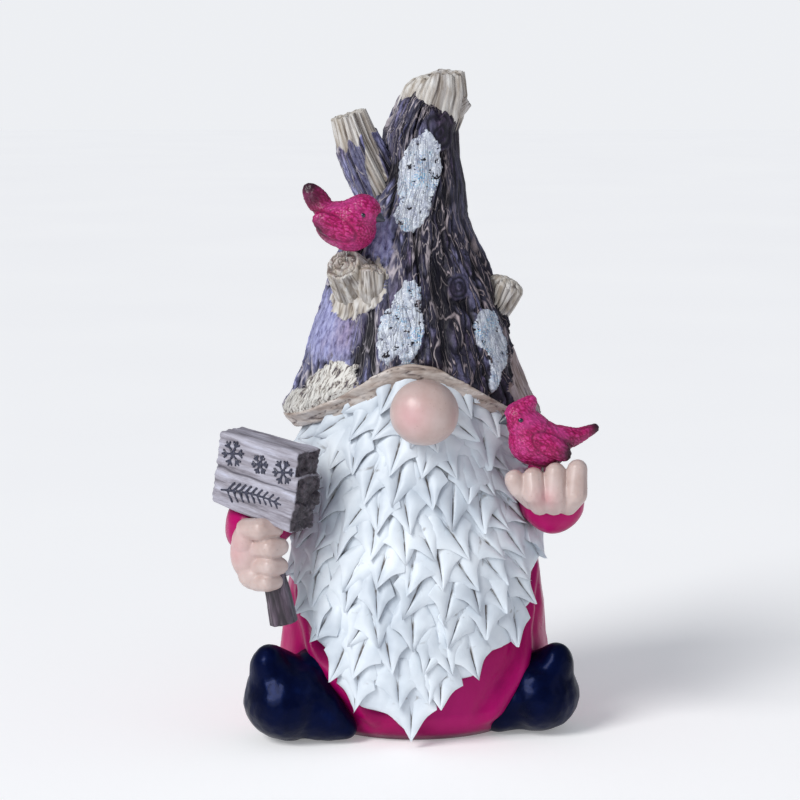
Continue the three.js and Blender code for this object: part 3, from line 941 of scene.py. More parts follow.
def leaf_relief(across, share, veins):
    """How high a leaf's face stands, and how much wash lies there: puffed halves, veins and a soft rim."""
    aside = abs(across)
    valley = hump(across, 0.07) * smooth(0.94, 0.8, share) * smooth(0.1, 0.25, share)
    side_vein = hump(share - 0.27 - 0.22 * aside, 0.035) * smooth(0.95, 0.6, aside) * veins
    puff = 0.6 * (1 - (2 * aside - 1) ** 2)
    rim = 0.35 * smooth(0.85, 1.0, aside)
    narrowing = min(leaf_outline(share) * 1.7, 1.0)
    return (puff - 0.85 * valley - 0.45 * side_vein - rim) * narrowing, max(valley, 0.8 * side_vein)


def add_leaf(beard, wash, tip, out, along, size, rng):
    """One leaf: a thick blade with side points, sunk at its foot and lifted at its tip."""
    length, width = size
    aside = along.cross(out).normalized()
    slant = rng.uniform(-0.13, 0.13) * width
    bend = rng.uniform(-1.6, 1.6)
    veins = rng.choice((0.0, 0.5, 1.0))
    wide, long = LEAF_CELLS
    blade = bmesh.ops.create_grid(beard, x_segments=wide, y_segments=long, size=0.5)["verts"]
    for corner in blade:
        across = math.copysign(abs(corner.co.x * 2) ** 1.6, corner.co.x)
        share = corner.co.y + 0.5
        reach = across * leaf_outline(share) * width + bend * share * (1 - share) * 2
        droop = 1.1 * abs(across) ** 3 * hump(share - SIDE_POINT, 0.11)
        face, inked = leaf_relief(across, share, veins)
        lift = -1.8 + 3.4 * share ** 0.8 + slant * across * smooth(0.1, 0.5, share)
        rough = 0.22 * noise.noise(tip + Vector((across * 2, share * 4, 0)))
        spot = tip - along * ((1 - share) * length - droop) + aside * reach
        corner.co = spot + out * (lift + face + rough)
        corner[wash] = inked
    faces = once(face for corner in blade for face in corner.link_faces)
    for face in faces:
        face.normal_update()
    if sum(face.normal.dot(out) for face in faces) < 0:
        bmesh.ops.reverse_faces(beard, faces=faces)
    rim = [edge for edge in once(edge for face in faces for edge in face.edges) if edge.is_boundary]
    skirt = bmesh.ops.extrude_edge_only(beard, edges=rim)["geom"]
    foot = [item for item in skirt if isinstance(item, bmesh.types.BMVert)]
    bmesh.ops.translate(beard, vec=out * -SKIRT_DROP - along * SKIRT_BACK, verts=foot)
    hem = [item for item in skirt if isinstance(item, bmesh.types.BMEdge)]
    bmesh.ops.holes_fill(beard, edges=hem, sides=0)


def leaf_places(rng):
    """Each leaf's tip, as an angle and a height, and its size: the jagged edge first, then the rows."""

    def leaf_size():
        return rng.uniform(*LEAF_LENGTH), rng.uniform(*LEAF_WIDTH)

    point, *others = EDGE_TIPS
    places = [(math.radians(point[0]), point[1], POINT_LEAF)]
    places += [(math.radians(degrees), z, leaf_size()) for degrees, z in others]
    z, top = ROWS
    row = 0
    while z < top:
        left, right = section_at(BEARD_EDGE, z)
        step = math.degrees(LEAF_STEP / section_at(BEARD, z)[2])
        degrees = left + step * (1.05 if row % 2 else 0.62)
        while degrees < right - step * 0.5:
            turn = math.radians(degrees + rng.uniform(-0.2, 0.2) * step)
            places.append((turn, z + rng.uniform(-2.2, 2.2), leaf_size()))
            degrees += step
        z += ROW_STEP
        row += 1
    return places


def make_beard(coat):
    """Overlapping leaves on a smooth core, all one piece. Leaves lean outwards at the cheeks."""
    rng = random.Random(12)

    def sunk(_point, _normal):
        return (-1.0,)

    beard = melted(pushed(node_copy("beard"), sunk), VOXEL["beard"])
    wash = beard.verts.layers.float.new("wash")
    for corner in beard.verts:
        corner[wash] = 0.0
    for angle, z, size in leaf_places(rng):
        lean = angle * 0.62 * (z / 110) + rng.uniform(-0.5, 0.5) * smooth(8, 36, z)
        tip = skin_at(BEARD, angle, z)[0]
        back = angle - math.sin(lean) * size[0] / section_at(BEARD, z)[2]
        foot = skin_at(BEARD, back, z + math.cos(lean) * size[0])[0]
        along = (tip - foot).normalized()
        out = skin_at(BEARD, (angle + back) / 2, z + math.cos(lean) * size[0] / 2)[1]
        out = (out - along * out.dot(along)).normalized()
        add_leaf(beard, wash, tip, out, along, size, rng)
    finish_piece("leaf_beard", beard, coat, "leaf", ["beard"], crease=math.radians(50))


# ------------------------------------------------------------------------------
# Trunk hat
# ------------------------------------------------------------------------------

BARK_LAYERS = ("crevice", "strand", "frost", "bare", "scar", "east", "north")
# Ovals on the front of the trunk: x, height, half width, half height, and lean.
FROST = [
    (1.4, 206.5, 7.6, 15.5, 0.2),
    (-0.8, 193.5, 6.0, 8.5, 0.45),
    (-9.2, 149.5, 4.6, 10.5, 0.15),
    (-4.0, 157, 5.4, 12.5, 0.28),
    (-1.6, 148.5, 4.0, 10, 0.3),
    (25.4, 150.5, 4.6, 7.6, -0.1),
    (29.2, 142.5, 3.8, 8.2, -0.1),
    (28.8, 134.5, 1.8, 6, 0.15),
]
TRUNK_CELLS = (390, 235)  # round the trunk and up it
SCAR = [(-30.5, 131, 7.0, 11.5, 0.86), (-40, 121.5, 6.4, 11, 1.0), (-47.5, 115.5, 5, 6, 1.0)]
COLLAR = [(-21, 164.5, 8.8, 8.6, 0.3), (-25, 160, 6, 6, 0.0), (-15.5, 167.5, 5.6, 9.0, 0.15)]
CALM = [(-31, 149, 11, 14, 0.2), (-12, 183, 5, 11, 0.0), (-27, 133, 9, 7, 0.8)]
KNOTS = [(8.6, 221.5, 5.0, 6.8), (15.4, 166, 3.6, 4.2)]
# Offsets at which the three parts of the furrows' wander are read.
WANDER = [Vector((11.3, 5.7, 3.1)), Vector((4.6, 17.2, 9.8)), Vector((8.9, 2.4, 21.5))]
RUN_SPREAD = (34, 19)  # radius of the bark's pattern at the trunk's foot and at its top
LIMB_SPREAD = 10  # and round a limb


def oval_share(point, ovals, ragged=0.2, soft=0.16):
    """1 inside any of some ragged ovals on the front of the trunk, 0 outside."""
    if point.y > 0:
        return 0.0
    torn = ragged * noise.noise(point * 0.4) + ragged * 0.6 * noise.noise(point * 1.1)
    most = 0.0
    for x, z, wide, tall, lean in ovals:
        across, up = point.x - x, point.z - z
        turned = across * math.cos(lean) - up * math.sin(lean)
        along = across * math.sin(lean) + up * math.cos(lean)
        distance = math.hypot(turned / wide, along / tall) + torn
        most = max(most, 1 - smooth(1 - soft, 1.0, distance))
    return most


def bark_foot(angle):
    """The wavy lower edge of the bark, highest over the nose."""
    return 117 + 23.5 * ((1 + math.cos(angle)) / 2) ** 7


def bark_top(angle):
    """The bark climbs higher on its left than on its right."""
    return 228.5 + 7.5 * smooth(-0.15, 0.75, -math.sin(angle))


def bark_run(turn, z, spread):
    """Where a place lies in the bark's pattern, which runs up the wood and spreads round it."""
    return Vector((math.cos(turn) * spread, math.sin(turn) * spread, z * RUN_RISE))


def bark_at(run, point, calm=0.0):
    """Bark: how far it stands out, and how deep in a crack it lies."""
    wandered = run + Vector([noise.noise(run * 0.09 + offset) for offset in WANDER]) * 3.5
    main = abs(noise.noise(wandered * 0.12 + Vector((7, 3, 1))))
    furrow = 1 - smooth(0.03, 0.19, main)
    groove = crack(wandered * 0.27 + Vector((2, 8, 5)), 0.17, 0.02)
    across = Vector((run.x * 0.12, run.y * 0.12, point.z * 0.15)) + Vector((1, 4, 4))
    broken = crack(across, 0.06) * smooth(0.1, 0.3, main) * 0.7
    pits = noise.noise(Vector((point.x, point.y, point.z * 0.5)) * 0.9)
    lumps = noise.noise(point * 0.25)
    open_bark = 1 - 0.85 * calm
    push = 0.7 - open_bark * (2.1 * furrow + 1.1 * groove * (1 - furrow) + 0.5 * broken)
    push += 0.35 * lumps + 0.25 * pits
    return push, open_bark * max(furrow, 0.7 * groove, broken)


def knot_at(point):
    """Old knots on the front: a boss with faint rings round it. Gives its share, its push and its shade."""
    share, push, shade = 0.0, 0.0, 0.0
    for x, z, wide, tall in KNOTS:
        away = math.hypot((point.x - x) / wide, (point.z - z) / tall) + 0.12 * noise.noise(point * 0.3)
        if away > 1.5 or point.y > 0:
            continue
        rings = 0.5 + 0.5 * math.cos((away - 1.0) * 15)
        share = 1 - smooth(1.0, 1.25, away)
        push = 0.5 * rings * smooth(0.3, 0.7, away) + 0.6 * smooth(0.8, 0.2, away)
        shade = 0.75 - 0.5 * rings
    return share, push, shade


def bare_wood_at(point, angle, run, edge):
    """1 where the bark has come off at the back right, 0 elsewhere."""
    top = 165 + 7 * noise.noise(Vector((run.x * 0.25, run.y * 0.25, 2)))
    far_edge = 2.35 + 0.12 * noise.noise(point * 0.2)
    round_it = smooth(-0.02, 0.03, edge) * smooth(far_edge, far_edge - 0.05, angle)
    return round_it * smooth(top, top - 1.5, point.z)


def scar_stroke(point):
    """Long cuts that lean the way the scar does."""
    across = point.x * 0.78 - point.z * 0.62
    along = point.x * 0.62 + point.z * 0.78
    return noise.noise(Vector((across * 0.7, along * 0.25, 3)))


def trunk_relief(point, angle, run):
    """The trunk's whole surface: its push, and the shares that its paint follows."""
    calm = oval_share(point, CALM, 0.3, 0.4)
    push, crevice = bark_at(run, point, calm)
    push += 1.4 * noise.noise(point * 0.05)
    knot, knot_push, knot_shade = knot_at(point)
    push = blend(push, 0.2 + knot_push, knot)
    crevice = blend(crevice, knot_shade, knot)
    streak = noise.noise(Vector((run.x * 0.35, run.y * 0.35, run.z * 0.3)))
    fine_streak = noise.noise(Vector((run.x * 0.8, run.y * 0.8, run.z * 0.5)))
    strip = 0.85 * smooth(0.55, 0.95, angle) * smooth(2.2, 1.6, angle) * smooth(172, 200, point.z)
    push = blend(push, 0.6 * streak + 0.3 * fine_streak, strip)
    crevice = blend(crevice, 0.45 + 0.4 * smooth(0.1, -0.3, fine_streak), strip)
    edge = angle - math.radians(50) - max(point.z - 125, 0) * 0.0195 + 0.1 * noise.noise(point * 0.2)
    edge += 0.06 * noise.noise(Vector((point.x * 0.5, point.y * 0.5, point.z * 0.5)))
    bare = bare_wood_at(point, angle, run, edge)
    wood = max(bare, oval_share(point, COLLAR, 0.26, 0.1))
    split = crack(Vector((run.x * 0.28, run.y * 0.28, run.z * 0.25 + 4)), 0.07)
    push = blend(push, 0.7 * streak + 0.5 * fine_streak - 0.7 * split - 0.8 * bare, wood)
    crevice = blend(crevice, max(smooth(0.05, -0.4, fine_streak) * 0.8, split), wood)
    push += 0.9 * hump(edge, 0.03) * smooth(172, 160, point.z)
    scar = oval_share(point, SCAR, 0.2, 0.14)
    push = blend(push, 0.6 + 0.7 * scar_stroke(point), scar)
    frost = oval_share(point, FROST, 0.13, 0.09)
    grit = noise.noise(point * 1.5)
    flow = noise.noise(Vector((point.x * 0.35, point.y * 0.35, point.z * 0.12)))
    push = blend(push, 1.15 + 0.09 * grit + 0.6 * flow, frost)
    hole = smooth(0.40, 0.52, 0.5 * grit + 0.85 * noise.noise(point * 0.4 + Vector((5, 5, 5))))
    push -= 0.7 * hole * frost
    open_bark = (1 - 0.9 * calm) * (1 - knot) * (1 - strip) * (1 - wood)
    return push, blend(crevice, hole, frost), open_bark, frost * (1 - hole), wood, scar * (1 - frost)


def make_trunk(coat):
    """The bark tube, widest at its foot, with furrows, frosted patches and bare wood at the back right."""
    sheet, layers, places = rolled_sheet(*TRUNK_CELLS, BARK_LAYERS)
    for corner, turn, level in places:
        angle = turn * math.tau - math.pi
        point, out = skin_at(TRUNK, angle, blend(bark_foot(angle), bark_top(angle), level))
        run = bark_run(angle, point.z, blend(*RUN_SPREAD, level))
        push, *values = trunk_relief(point, angle, run)
        edge = smooth(0.0, 0.02, level) * smooth(1.0, 0.985, level)
        torn = noise.noise(Vector((math.sin(angle) * 4, math.cos(angle) * 4, 5))) * 3.0 * level ** 8
        corner.co = point + out * (push * edge - 1.2 * (1 - edge)) + UP * torn
        store(corner, layers, [*values, run.x, run.y])
    finish_piece("trunk_bark", close_shell(sheet), coat, "bark", ["hat_trunk"])


def make_lip(coat):
    """The brim's wooden lip, with fibres and splits running round its edge."""
    lip = without_crumbs(melted(node_copy("brim_lip"), VOXEL["lip"], 4))

    def fibres(point, _normal):
        angle = math.atan2(point.x, -point.y)
        rise = point.z - 23 * ((1 + math.cos(angle)) / 2) ** 7
        grain = noise.noise(Vector((angle * 2.2, rise * 0.55, point.length * 0.3)))
        fine = noise.noise(Vector((angle * 5, rise * 1.3, point.length * 0.6)))
        split = crack(Vector((angle * 1.6, rise * 0.28, 9)), 0.07)
        low = max(split * 0.9, smooth(0.0, -0.45, fine) * 0.6)
        return 0.5 * grain + 0.22 * fine - 0.55 * split, low

    finish_piece("brim_wood_lip", pushed(lip, fibres, ["crevice"]), coat, "wood", ["brim_lip"])


def spine_at(spine, side):
    """A point on a limb's bent middle line, and the way it runs there."""
    spans = len(spine) - 1
    span = min(int(side * spans), spans - 1)
    share = side * spans - span
    ways = [(end - start).normalized() for start, end in zip(spine, spine[1:])]
    way = ways[span]
    if share < 0.5 and span > 0:
        way = way.lerp(ways[span - 1], 0.5 - share).normalized()
    if share > 0.5 and span < spans - 1:
        way = way.lerp(ways[span + 1], share - 0.5).normalized()
    return spine[span].lerp(spine[span + 1], share), way, span, share


def level_rim(_angle):
    """The edge of a limb that is cut off straight."""
    return 0.0


def torn_rim(seed, jag, slope=0.0, facing=0.0):
    """The edge of a broken end: jagged, and sloping down on the side it faces."""

    def rim(angle):
        around = Vector((math.cos(angle), math.sin(angle), 0))
        torn = noise.noise(around * 2.4 + Vector((seed, 2, 0))) + 0.5 * noise.noise(around * 7)
        return jag * torn - slope * (0.5 + 0.5 * math.cos(angle - facing))

    return rim


def stem(spine, radii, cells, relief, cap, squash=1.0, rim=level_rim):
    """A limb along a spine, with a cut end that takes the share of its rows that cap says.

    relief(angle, side, inwards, point) gives its push and its layers' values.
    """
    sheet, layers, places = rolled_sheet(*cells, BARK_LAYERS)
    spine = [Vector(point) for point in spine]
    for corner, turn, level in places:
        side = min(level / (1 - cap), 1.0)
        inwards = max(level - (1 - cap), 0.0) / cap
        centre, axis, span, share = spine_at(spine, side)
        right = axis.cross(Vector((0, 1, 0.001))).normalized()
        ahead = right.cross(axis).normalized()
        angle = turn * math.tau
        out = right * math.cos(angle) + ahead * math.sin(angle) * squash
        radius = blend(radii[span], radii[span + 1], share)
        push, *values = relief(angle, side, inwards, centre + out * radius)
        rise = rim(angle) * side ** 5 * (1 - inwards)
        if inwards > 0:
            wall = relief(angle, 1.0, 0.0, centre + out * radius)[0]
            corner.co = centre + out * (radius + wall) * (1 - inwards) + axis * (push + rise)
        else:
            corner.co = centre + out * (radius + push) + axis * rise
        run = bark_run(angle, corner.co.z, LIMB_SPREAD)
        store(corner, layers, [*values, run.x, run.y])
    return close_shell(sheet, 0.01)


def cut_end(spot, depth, seed, rings, dome, inwards):
    """The rough face of a cut: its push and how deep in a hollow it lies."""
    from_seed = Vector((seed, 0, 0))
    rough = noise.noise(spot * 3.2 + from_seed) + 0.6 * noise.noise(spot * 8 + from_seed)
    ring = math.sin((1 - inwards) * rings) if rings else 0.0
    split = crack(spot * 2.1 + Vector((seed, 9, 0)), 0.09)
    bulge = dome * math.sqrt(max(1 - (1 - inwards) ** 2, 0))
    low = max(smooth(-0.1, -0.6, rough), smooth(0.2, 0.95, -ring) * 0.8, split * 0.9)
    push = (bulge + 0.5 * rough * depth + 0.5 * ring - 0.6 * split) * smooth(0, 0.06, inwards)
    return push, low


def cut_wood(grooves, depth, seed, bare_from=0.0, rings=0.0, dome=0.0, strip=None):
    """Relief for a split limb: grooves along it, a rough end, and bark up to where its wood is bare."""

    def relief(angle, side, inwards, point):
        around = Vector((math.cos(angle), math.sin(angle), 0))
        if inwards > 0:
            push, low = cut_end(around * (1 - inwards), depth, seed, rings, dome, inwards)
            return push, low, 0.0, 0.0, 1.0, 0.0
        broad = noise.noise(around * grooves * 0.35 + Vector((seed, 0, side * 0.5)))
        groove = noise.noise(around * grooves + Vector((0, seed, side * 0.7)))
        fine = noise.noise(around * grooves * 2.6 + Vector((0, seed, side * 1.5)))
        split = crack(around * grooves * 0.8 + Vector((4, seed, side * 0.5)), 0.13)
        wood = 1.0
        if bare_from:
            torn = 0.16 * noise.noise(around * 2.2 + Vector((seed, 5, 0)))
            wood = smooth(-0.03, 0.03, side - bare_from + torn)
        if strip:
            from_turn, to_turn, reach = strip
            turn = angle - blend(from_turn, to_turn, side)
            near = abs(math.atan2(math.sin(turn), math.cos(turn)))
            wood = max(wood, smooth(reach, reach * 0.8, near + 0.15 * groove))
        low = max(smooth(0.05, -0.4, groove) * 0.7, split, smooth(0.0, -0.5, fine) * 0.6)
        plain = depth * (1.3 * broad + 0.6 * groove + 0.35 * fine - 0.8 * split)
        push, crevice = bark_at(bark_run(angle, point.z, LIMB_SPREAD), point, 0.35)
        return blend(push * 0.7 + 0.9, plain, wood), blend(crevice, low, wood), 1 - wood, 0.0, wood, 0.0

    return relief


def make_limbs(bark, wood):
    """The pale crown and its spur, the forked branch, the perch and its ledge, and the knobbly stub."""
    crown = stem(
        [(1.2, 0, 212), (3.4, 0, 222), (6.4, 0, 230), (8.6, 0, 237), (9.6, 0, 244.2)],
        [9, 11.6, 12.0, 11.2, 9.0],
        (210, 150),
        cut_wood(6.5, 1.0, 3),
        cap=0.26,
        squash=0.88,
        rim=torn_rim(3, 1.4, 5.0),
    )
    finish_piece("split_crown", crown, wood, "wood", ["bare_crown"])
    spur_spine = [(10, -1.5, 227), (15.4, -2, 230), (19.4, -2, 232.6)]
    spur = stem(spur_spine, [5.4, 3.8, 2.3], (60, 50), cut_wood(3.0, 0.5, 35), cap=0.4)
    finish_piece("crown_spur", spur, wood, "wood")
    branch = stem(
        [(-9, -2, 192), (-17, -3.6, 208), (-21.5, -5, 218), (-24.6, -6, 227.8)],
        [8.5, 8.2, 7.4, 6.4],
        (170, 150),
        cut_wood(5.0, 0.85, 11, bare_from=0.7, strip=(-1.5, -2.5, 0.42)),
        cap=0.2,
        rim=torn_rim(11, 1.0),
    )
    finish_piece("forked_branch", branch, bark, "bark", ["left_branch"])
    perch = stem(
        [(-16, -10, 158), (-20.5, -18, 165.5), (-26.0, -28, 174.4)],
        [13, 9.8, 6.6],
        (150, 120),
        cut_wood(5.5, 0.55, 21, rings=15.0),
        cap=0.34,
        rim=torn_rim(21, 0.5),
    )
    finish_piece("perch_wood", perch, wood, "wood", ["perch_stub"])
    ledge = stem(
        [(-15.5, -22, 158), (-16.0, -26.5, 167), (-16.6, -28.5, 174.6)],
        [5.0, 5.8, 5.2],
        (90, 80),
        cut_wood(4.0, 0.5, 27),
        cap=0.3,
        rim=torn_rim(27, 1.2, 3.0, math.pi),
    )
    finish_piece("perch_ledge", ledge, wood, "wood")
    knob_spine = [(20, -4, 147), (27, -5, 154), (30.8, -5.6, 159.4), (33.0, -5.6, 164.6)]
    knob = stem(knob_spine, [8.8, 6.0, 5.9, 6.6], (130, 120), cut_wood(3.6, 0.8, 31, dome=3.6), cap=0.34)
    finish_piece("knob_wood", knob, wood, "wood", ["right_stub"])


# ------------------------------------------------------------------------------
# Nose and hands
# ------------------------------------------------------------------------------


SKIN_DENTS = 0.25
# The fist's thumb and fingers, from the top: height, x of the knuckle, x of the tip, and radius.
CURLS = [
    (81.8, -60.6, -50.6, 4.2),
    (75.0, -56.6, -48.6, 4.1),
    (68.2, -56.2, -48.6, 3.8),
    (62.2, -56.8, -50.2, 3.4),
]
# The palm's fingers: x, height of the tip, radius, and how far it leans along x.
PALM_FINGERS = [(42.6, 100.2, 4.2, -0.6), (49.6, 101.6, 4.4, 0.2), (56.6, 102.8, 4.3, 1.0)]


def with_blush(shape, centre, reach):
    """Dents a lump slightly and stores a pink blush round one place on it."""
    centre = Vector(centre)

    def relief(point, _normal):
        return SKIN_DENTS * noise.noise(point * 0.16), hump((point - centre).length, reach)

    return pushed(shape, relief, ["blush"])


def make_nose(coat):
    """A round nose with a stem that goes back into the beard."""
    nose = bmesh.new()
    ball(nose, (3, -49.5, 123.6), (12.3, 11.8, 11.8), detail=5)
    chain(nose, [(3, -45, 123.4), (2, -30, 122)], [7, 5])
    nose = with_blush(melted(nose, VOXEL["nose"], 4), (-2, -60, 124), 7)
    finish_piece("round_nose", nose, coat, "skin", ["nose"])


def make_sign_hand(coat):
    """A plump fist: the thumb along the top, three curled fingers and the heel of the hand."""
    hand = bmesh.new()
    ball(hand, (-58.4, -41.5, 72.8), (8.4, 7.8, 12.2), 0.12)
    ball(hand, (-56.4, -42.5, 64), (7.8, 7.4, 6.0), -0.2)
    ball(hand, (-60.6, -44.5, 77), (5.4, 5.4, 6.4), 0.2)
    for z, knuckle, tip, radius in CURLS:
        bend = blend(knuckle, tip, 0.55)
        path = [(knuckle, -46.2, z - 0.8), (bend, -51.6, z + 0.2), (tip, -49.4, z + 0.1)]
        chain(hand, path, [radius * 0.96, radius, radius * 0.86])
    hand = with_blush(melted(hand, VOXEL["hand"], 2), (-66.0, -46, 74), 7.5)
    finish_piece("fist", hand, coat, "skin", ["sign_hand"])


def make_bird_hand(coat):
    """An open palm: three fingers curl up in front of the bird, with the thumb to one side."""
    hand = bmesh.new()
    ball(hand, (49.8, -39.5, 93.2), (11.4, 9.2, 6.2))
    ball(hand, (49.4, -43, 90.6), (9.6, 6.6, 4.6))
    for x, top, radius, lean in PALM_FINGERS:
        path = [(x * 0.72 + 13.8, -45.5, 89.6), (x + lean * 0.5, -49.4, 94.2), (x + lean, -47.6, top)]
        chain(hand, path, [radius * 0.9, radius, radius * 0.9], 8)
    chain(hand, [(42, -42.5, 91.5), (37.2, -46, 96.0), (35.2, -46.6, 99.2)], [4.4, 4.1, 3.7])
    hand = with_blush(melted(hand, VOXEL["hand"], 2), (46, -52, 93), 4.5)
    finish_piece("open_palm", hand, coat, "skin", ["bird_hand"])


# ------------------------------------------------------------------------------
# Sign
# ------------------------------------------------------------------------------

BOARD_PLACE = Matrix.Translation((-53.2, -43.5, 99.2))
BOARD = BOARD_PLACE @ Matrix.Rotation(BOARD_TURN, 4, "Z") @ Matrix.Rotation(BOARD_SLOPE, 4, "Y")
BOARD_SIZE = (38, 13.6, 28.4)
BOARD_TAPER = 0.0026  # how much taller the board grows per millimetre towards its broken end
# Levels of the broken end: lowest and highest height on the board, and how much is split off.
BOARD_LEVELS = [(-14.2, -3.0, 0.9), (-6.2, 5.6, 0.0), (2.2, 14.2, 1.6)]
STROKE_WIDTH = 1.0
STROKE_STEP = 0.35  # millimetres between the dabs of one brush stroke
TWIG_ARCH = 2.6  # how far the sprig's twig rises in its curve
TWIG_BEND = 2.2
NEEDLE = 4.6  # length of a needle at the twig's foot


def board_blank():
    """The board before weathering: rounded blocks, one for each level of its broken end."""
    block = bmesh.new()
    for low, high, shorter in BOARD_LEVELS:
        size = (BOARD_SIZE[0] - shorter, BOARD_SIZE[1] - shorter * 0.15, high - low)
        middle = Matrix.Translation((-shorter / 2, 0, (low + high) / 2))
        place = BOARD @ middle @ Matrix.Diagonal((*size, 1))
        chunk = bmesh.ops.create_cube(block, size=1, matrix=place)["verts"]
        edges = once(edge for corner in chunk for edge in corner.link_edges)
        rounded = {"segments": 3, "profile": 0.5, "affect": "EDGES", "material": -1}
        bmesh.ops.bevel(block, geom=edges, offset=1.3, **rounded)
    inverse = BOARD.inverted()
    for corner in block.verts:
        local = inverse @ corner.co
        local.z *= 1 + BOARD_TAPER * local.x
        corner.co = BOARD @ local
    return melted(block, VOXEL["board"], 2)


def make_board(coat):
    """Weathered planks cast as one board, with a groove between them and a splintered right end."""
    board = board_blank()
    inverse = BOARD.inverted()

    def weathered(point, normal):
        local = inverse @ point
        flat = inverse.to_3x3() @ normal
        fibre = noise.noise(Vector((local.x * 0.06, local.y * 0.6, local.z * 0.8)))
        fine = noise.noise(Vector((local.x * 0.12, local.y * 1.6, local.z * 2.2)))
        knot = noise.noise(Vector((local.x * 0.16, 3, local.z * 0.3)))
        seam = hump(local.z - 0.2 + 0.7 * knot, 0.6) * smooth(0.2, 0.7, abs(flat.y))
        end = smooth(0.45, 0.8, flat.x)
        chip = noise.voronoi(Vector((2, local.y * 0.22, local.z * 0.2)))
        splinter = 0.9 * noise.cell(chip[1][0] * 3) + 0.3 * noise.noise(point * 0.5)
        gash = smooth(0.14, 0.0, chip[0][1] - chip[0][0])
        push = 0.5 * fibre + 0.2 * fine - 0.75 * seam + end * (0.9 * splinter - 0.7 * gash)
        low = max(smooth(0.1, 0.5, -fibre) * 0.6, smooth(0.1, 0.5, -fine) * 0.5, seam, gash * end)
        return push, low, end

    finish_piece("plank_board", pushed(board, weathered, ["crevice", "end"]), coat, "sign", ["sign_board"])


def board_stroke(stroke, points):
    """Adds one brush stroke on the board's face: a row of flat dabs that follows x, z points on it."""
    face = -BOARD_SIZE[1] / 2 - 0.05
    for (x0, z0), (x1, z1) in zip(points, points[1:]):
        steps = max(int(math.hypot(x1 - x0, z1 - z0) / STROKE_STEP), 1)
        for step in range(steps + 1):
            share = step / steps
            radius = STROKE_WIDTH / 2 * (1 + 0.18 * noise.noise(Vector((x0 + share, z0, step * 0.4))))
            place = BOARD @ Matrix.Translation((blend(x0, x1, share), face, blend(z0, z1, share)))
            place = place @ Matrix.Diagonal((radius, 0.5, radius, 1))
            bmesh.ops.create_icosphere(stroke, subdivisions=1, radius=1, matrix=place)


def snowflake(x, z, reach):
    """Six barbed arms round a point."""
    strokes = []
    for arm in range(6):
        angle = arm * math.pi / 3 + math.radians(14)
        tip = (x + reach * math.cos(angle), z + reach * math.sin(angle))
        strokes.append([(x, z), tip])
        for lean in (-0.8, 0.8):
            root = (blend(x, tip[0], 0.58), blend(z, tip[1], 0.58))
            turn = angle + lean
            barb = (root[0] + 0.38 * reach * math.cos(turn), root[1] + 0.38 * reach * math.sin(turn))
            strokes.append([root, barb])
    return strokes


def fir_sprig(x, z, length):
    """A curved twig with needles that lean towards its tip."""

    def twig_at(share):
        return x + length * share, z + TWIG_ARCH * math.sin(share * TWIG_BEND)

    strokes = [[twig_at(share) for share in (0, 0.25, 0.5, 0.75, 1)]]
    for step in range(1, 10):
        share = step / 10
        foot = twig_at(share)
        reach = NEEDLE * (1 - 0.55 * share)
        for way in (-1, 1):
            strokes.append([foot, (foot[0] + reach * 0.62, foot[1] + way * reach * 0.8)])
    return strokes


def make_motif(coat):
    """A painted winter motif in place of any words: snowflakes on the top plank and a fir sprig below."""
    strokes = snowflake(-11.5, 6.8, 4.8) + snowflake(1.0, 6.2, 3.4) + snowflake(11.6, 6.2, 4.4)
    strokes += fir_sprig(-14.5, -7.6, 27)
    ink = bmesh.new()
    for points in strokes:
        board_stroke(ink, points)
    finish_piece("painted_motif", melted(ink, VOXEL["motif"], 1), coat, "post")


def make_post(coat):
    """The stick under the board, ribbed and slightly swollen at its foot."""

    def ribs(angle, side, inwards, _point):
        place = Vector((math.cos(angle) * 1.7, math.sin(angle) * 1.7, side * 2.2))
        rib = noise.noise(place)
        cut = crack(place * 1.3 + Vector((3, 0, 0)), 0.2)
        if inwards > 0:
            spot = Vector((math.cos(angle), math.sin(angle), 0)) * (1 - inwards)
            return 0.5 * noise.noise(spot * 3) * smooth(0, 0.1, inwards), 0.4, 0.0, 0.0, 0.0, 0.0
        return 0.6 * rib - 0.35 * cut, max(cut, smooth(0, -0.5, rib)), 0.0, 0.0, 0.0, 0.0

    spine = [(-55.6, -42.8, 92), (-52.4, -45.4, 72), (-47.4, -46, 46.5)]
    post = stem(spine, [3.4, 4.3, 4.9], (80, 130), ribs, cap=0.12)
    finish_piece("post_stick", post, coat, "post", ["sign_post"])


# ------------------------------------------------------------------------------
# Birds
# ------------------------------------------------------------------------------


def feathers(point, flow, dark_at, dark_reach, wing):
    """Engraved feather strokes that run along flow, and the dark of the tail and wing tips."""
    along = point.dot(flow)
    aside = point - flow * along
    stroke = noise.noise(aside * 2.1 + flow * along * 0.5)
    cell = noise.voronoi(aside * 0.8 + flow * along * 0.45)[0]
    barb = smooth(0.2, 0.02, cell[1] - cell[0])
    dark = max(hump((point - spot).length, dark_reach) for spot in dark_at)
    edge = smooth(0.14, 0.0, abs(wing(point)))
    low = max(smooth(0.05, -0.4, stroke), barb * 0.8, edge)
    return 0.17 * stroke - 0.16 * barb - 0.3 * edge, low, min(dark * 1.25, 1.0)


